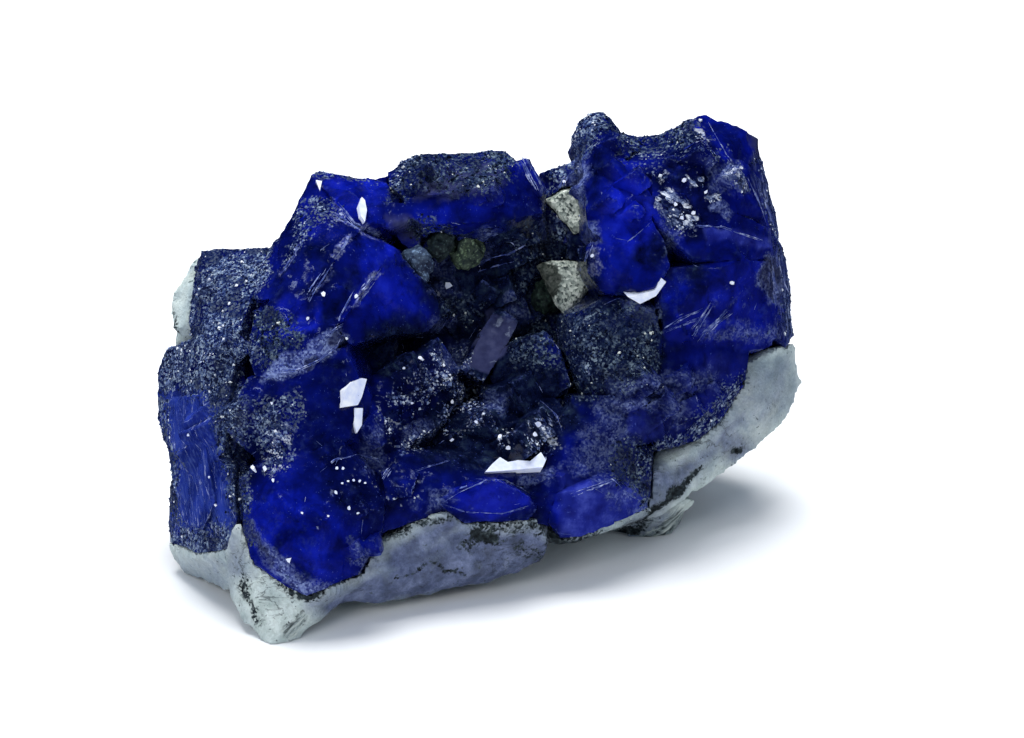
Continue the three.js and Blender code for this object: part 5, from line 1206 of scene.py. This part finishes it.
# Small broken crystals, painted white as glints: across, up, and how wide.
SPARKS = [
    (-19.3, -18, 0.55), (-13.3, -12.8, 0.6), (-14.6, -11.2, 0.45), (-21, -2.3, 0.4), (-23, -8.7, 0.5),
    (-20.9, -10, 0.5), (-21.7, -8.8, 0.6), (-3, -2.2, 0.45), (-3, -6, 0.4), (-18, -13.3, 0.3),
    (-15.4, -13.6, 0.3), (-12.4, -13.3, 0.35), (-14, -10.3, 0.3), (-13.4, -10.1, 0.3), (-12.8, -10, 0.3),
    (-12.2, -10.1, 0.3), (-11.7, -10.3, 0.3), (-14.5, -8.8, 0.3), (-13.9, -8.8, 0.3), (-7, -2.3, 0.4),
    (-3.4, 9.4, 0.8), (20.2, 20, 0.6), (21.1, 16.7, 0.55), (19.4, 17.6, 0.5), (20, 16.2, 0.5),
    (25, 9.7, 0.5), (22.4, 18.8, 0.45), (-27.3, -9.7, 0.3), (-26.7, -12.5, 0.35), (-29.4, -5.5, 0.3),
    (5.6, -4.4, 0.6), (5.3, -5.4, 0.55), (1.8, -5.6, 0.45), (-0.6, -4.2, 0.4), (-7.8, 1.2, 0.4),
    (-6.2, 2.2, 0.4), (8.2, 19.8, 0.4), (11, 12.4, 0.4), (-15.8, 8.6, 0.5), (-12.6, 8.4, 0.5),
    (-17.4, 6.2, 0.45), (26, 21.2, 0.4), (-2, 3, 0.35), (2.6, -6.8, 0.5), (-25.6, -17.2, 0.3),
]
SPARK_SIDES = 6
SPARK_UNEVEN = (0.5, 1.2)  # their corners lie between these shares of half their width from the middle
step_points, step_faces = [], []


def add_step(outline, depth):
    """A flat-topped step over an outline of the show face, level with the surface and just clear of it."""
    sights = [sight_of(across, up) for across, up in outline]
    hits = [gem_surface.ray_cast(eye, sight)[0] for sight in sights]
    if None in hits:
        return
    middle = sum(hits, Vector()) / len(hits)
    turned = sum(((b - middle).cross(a - middle) for a, b in zip(hits, hits[1:] + hits[:1])), Vector())
    level = (Vector(OUTWARD) * STEP_TURN + turned.normalized()).normalized()
    # the top clears the surface at the corners, along the edges and on the way to the middle
    centre = sum(sights, Vector()).normalized()
    edges = list(zip(sights, sights[1:] + sights[:1]))
    tried = [a.lerp(b, share) for a, b in edges for share in (0.25, 0.5, 0.75)]
    tried += [sight.lerp(centre, share) for sight in sights for share in (0.25, 0.5, 0.75, 1.0)]
    under = [gem_surface.ray_cast(eye, sight)[0] for sight in tried]
    reach = max(point.dot(level) for point in hits + under if point is not None) + STEP_PROUD
    top = [eye + sight * ((reach - eye.dot(level)) / sight.dot(level)) for sight in sights]
    count, first = len(top), len(step_points)
    step_points.extend(top + [point - level * depth for point in top])
    step_faces.append(tuple(range(first + count - 1, first - 1, -1)))
    step_faces.append(tuple(range(first + count, first + 2 * count)))
    for k in range(count):
        after = (k + 1) % count
        step_faces.append((first + k, first + after, first + count + after, first + count + k))


for outline in STEPS:
    add_step(outline, STEP_DEPTH)
for across, up, width in SPARKS:
    turn = chance.uniform(0, math.tau)
    spokes = width / 2 * chance.uniform(*SPARK_UNEVEN, SPARK_SIDES)
    angles = [turn - math.tau * k / SPARK_SIDES for k in range(SPARK_SIDES)]
    add_step([(across + spoke * math.cos(angle), up + spoke * math.sin(angle))
              for spoke, angle in zip(spokes, angles)], width)
steps = bpy.data.meshes.new("painted_glint_steps")
steps.from_pydata(step_points, [], step_faces)

# near-white: painted glints
glint_finish, tree, shader = new_material("painted_glint_facet")
spots_mm = millimetres(tree)
feed(shader, {"Base Color": graded(soft_noise(spots_mm, 0.9, 4), (0.3, 205, 214, 246), (0.7, 244, 247, 255)),
              "Roughness": times(soft_noise(spots_mm, 0.5, 3), 0.4)})
set_in_place("painted_glint_steps", steps, glint_finish, "sapphire", crisp=20)

# ---------------------------------------------------------------- grains of feldspar
# Two broken grains of pale feldspar caught in the cleft, dull, with dark specks between their small crystals.
# The larger one has a dark stain on its left.
GRAIN_MESH = (6, 0.55)  # how finely each is resurfaced
GRAIN_EASING = 3  # rounds of easing that take the corners off
GRAIN_SWELL = 0.12  # how far each swells, to sit close in the cleft
GRAIN_ROUGH = 0.16  # how far it is rough beyond that
STAIN_WANDER = 0.3  # how far the stain's edge strays
STAIN = ("stain", 1.0, 0.5, [(5.2, 12.0), (7.2, 11.6), (7.9, 10.4), (7.6, 8.8), (6.6, 7.6), (5.0, 8.4)])

feldspar_finish, tree, shader = new_material("feldspar")
spots_mm = millimetres(tree)
paleness, from_middle = grain_cells(spots_mm, 3.6)
tone = plus(times(paleness, 0.6), times(soft_noise(spots_mm, 0.9, 4), 0.5))
base = graded(tone, (0.24, 52, 62, 62), (0.40, 140, 150, 142), (0.66, 190, 198, 186), (0.92, 224, 228, 218))
specks = beyond(soft_noise(spots_mm, 0.35, 3, 0.6), 0.60)
base = overlaid(times(specks, 0.75), base, srgb(36, 44, 46))
stain = ragged("stain", spots_mm, 1.0, 0.3, from_middle, 0.3)
base = overlaid(times(stain, 0.88), base, srgb(34, 40, 34))
bumped(shader, from_middle, 0.0002)
feed(shader, {"Base Color": base, "Roughness": 0.55})
for node in ("feldspar_grain", "feldspar_sliver"):
    grain = stone_surface(node, *GRAIN_MESH)
    spots = eased(grain, points_of(grain), GRAIN_EASING)
    move_points(grain, spots)
    spots = spots + normals_of(grain) * (GRAIN_ROUGH * roughness_of(spots, 0.9, 51) + GRAIN_SWELL)[:, None]
    move_points(grain, spots)
    stained = patch_marks([STAIN], ("stain",), strayed_sight(spots, 53, STAIN_WANDER))["stain"]
    mark(grain, "stain", stained)
    set_in_place(node + "_stone", grain, feldspar_finish, "feldspar", node)

# ---------------------------------------------------------------- pebbles in the hollow
# Four small rounded grains of green and grey stone, caught between the crystals. They are uneven and satin.
PEBBLE_MESH = (5, 0.8)  # how finely each is resurfaced
PEBBLE_EASING = 8  # rounds of easing that round it
PEBBLES = {  # dark and pale colour of each
    "green_pebble": ((30, 42, 46), (84, 100, 80)),
    "green_pebble_left": ((14, 22, 34), (52, 66, 66)),
    "grey_pebble": ((18, 28, 60), (84, 102, 124)),
    "dark_pebble": ((6, 12, 18), (40, 54, 46)),
}
SPECK_PALER = 1.6  # so many times the pale colour

for node, (dark, pale) in PEBBLES.items():
    finish, tree, shader = new_material(node + "_stone")
    spots_mm = millimetres(tree)
    base = graded(soft_noise(spots_mm, 0.5, 7, 0.75), (0.36, *dark), (0.62, *pale))
    base = overlaid(between(soft_noise(spots_mm, 1.5, 3), 0.48, 0.66, 0.8), base, srgb(*dark))
    specks = beyond(soft_noise(spots_mm, 0.25, 3, 0.6), 0.6)
    base = overlaid(times(specks, 0.5), base, srgb(*(value * SPECK_PALER for value in pale)))
    bumped(shader, soft_noise(spots_mm, 0.3, 4), 0.0002)
    feed(shader, {"Base Color": base, "Roughness": 0.5})
    stone = stone_surface(node, *PEBBLE_MESH)
    spots = eased(stone, points_of(stone), PEBBLE_EASING)
    move_points(stone, spots)
    lift = 0.62 * roughness_of(spots, 1.9, 61) + 0.34 * roughness_of(spots, 0.7, 62) - 0.05
    move_points(stone, spots + normals_of(stone) * lift[:, None])
    set_in_place(node + "_stone", stone, finish, "pebble", node)

# ---------------------------------------------------------------- floor and light
# A plain white sweep and soft daylight: a large soft light high at the back, two weaker ones at the front,
# and two small lights that the glassy faces catch.
FLOOR_SIZE = 3.0
FLOOR_WHITE = (0.86, 0.87, 0.88, 1)
SKY_BLUE = (0.62, 0.77, 1.0, 1)
SKY_STRENGTH = 0.28
GLINT_BLUE = (0.62, 0.76, 1.0)
LIT_SPOT = Vector((0, 0, 0.018))  # what the lights point at

half = FLOOR_SIZE / 2
floor_corners = [(-half, -half, 0), (half, -half, 0), (half, half, 0), (-half, half, 0)]
floor_mesh = bpy.data.meshes.new("floor")
floor_mesh.from_pydata(floor_corners, [], [(0, 1, 2, 3)])
floor = bpy.data.objects.new("floor", floor_mesh)
bpy.context.scene.collection.objects.link(floor)
white, tree, shader = new_material("white_sweep")
feed(shader, {"Base Color": FLOOR_WHITE, "Roughness": 0.9, "Specular IOR Level": 0.0})
floor_mesh.materials.append(white)
floor.visible_glossy = False

world = bpy.data.worlds.new("daylight")
world.use_nodes = True
world.node_tree.nodes["Background"].inputs[0].default_value = SKY_BLUE
world.node_tree.nodes["Background"].inputs[1].default_value = SKY_STRENGTH
world.cycles_visibility.glossy = False
bpy.context.scene.world = world

LIGHTS = [
    # name, where it stands (m), size (m), power (W), seen in reflections
    ("sky_light", (-0.07, 0.36, 0.96), 0.62, 16.5, False),
    ("front_light", (-0.46, -0.75, 0.60), 0.45, 3.5, False),
    ("right_light", (0.60, -0.50, 0.50), 0.45, 0.6, False),
    ("glint_left", (-0.50, -0.35, 0.75), 0.10, 0.35, True),
    ("glint_right", (0.45, -0.20, 0.80), 0.08, 0.16, True),
]
for name, where, size, power, seen in LIGHTS:
    light = bpy.data.lights.new(name, "AREA")
    light.size, light.energy = size, power
    light.color = GLINT_BLUE if seen else (1.0, 1.0, 1.0)
    lamp = bpy.data.objects.new(name, light)
    lamp.location = where
    lamp.rotation_euler = (LIT_SPOT - Vector(where)).to_track_quat("-Z", "Y").to_euler()
    lamp.visible_glossy = seen
    bpy.context.scene.collection.objects.link(lamp)

bpy.context.scene.view_settings.view_transform = "Standard"
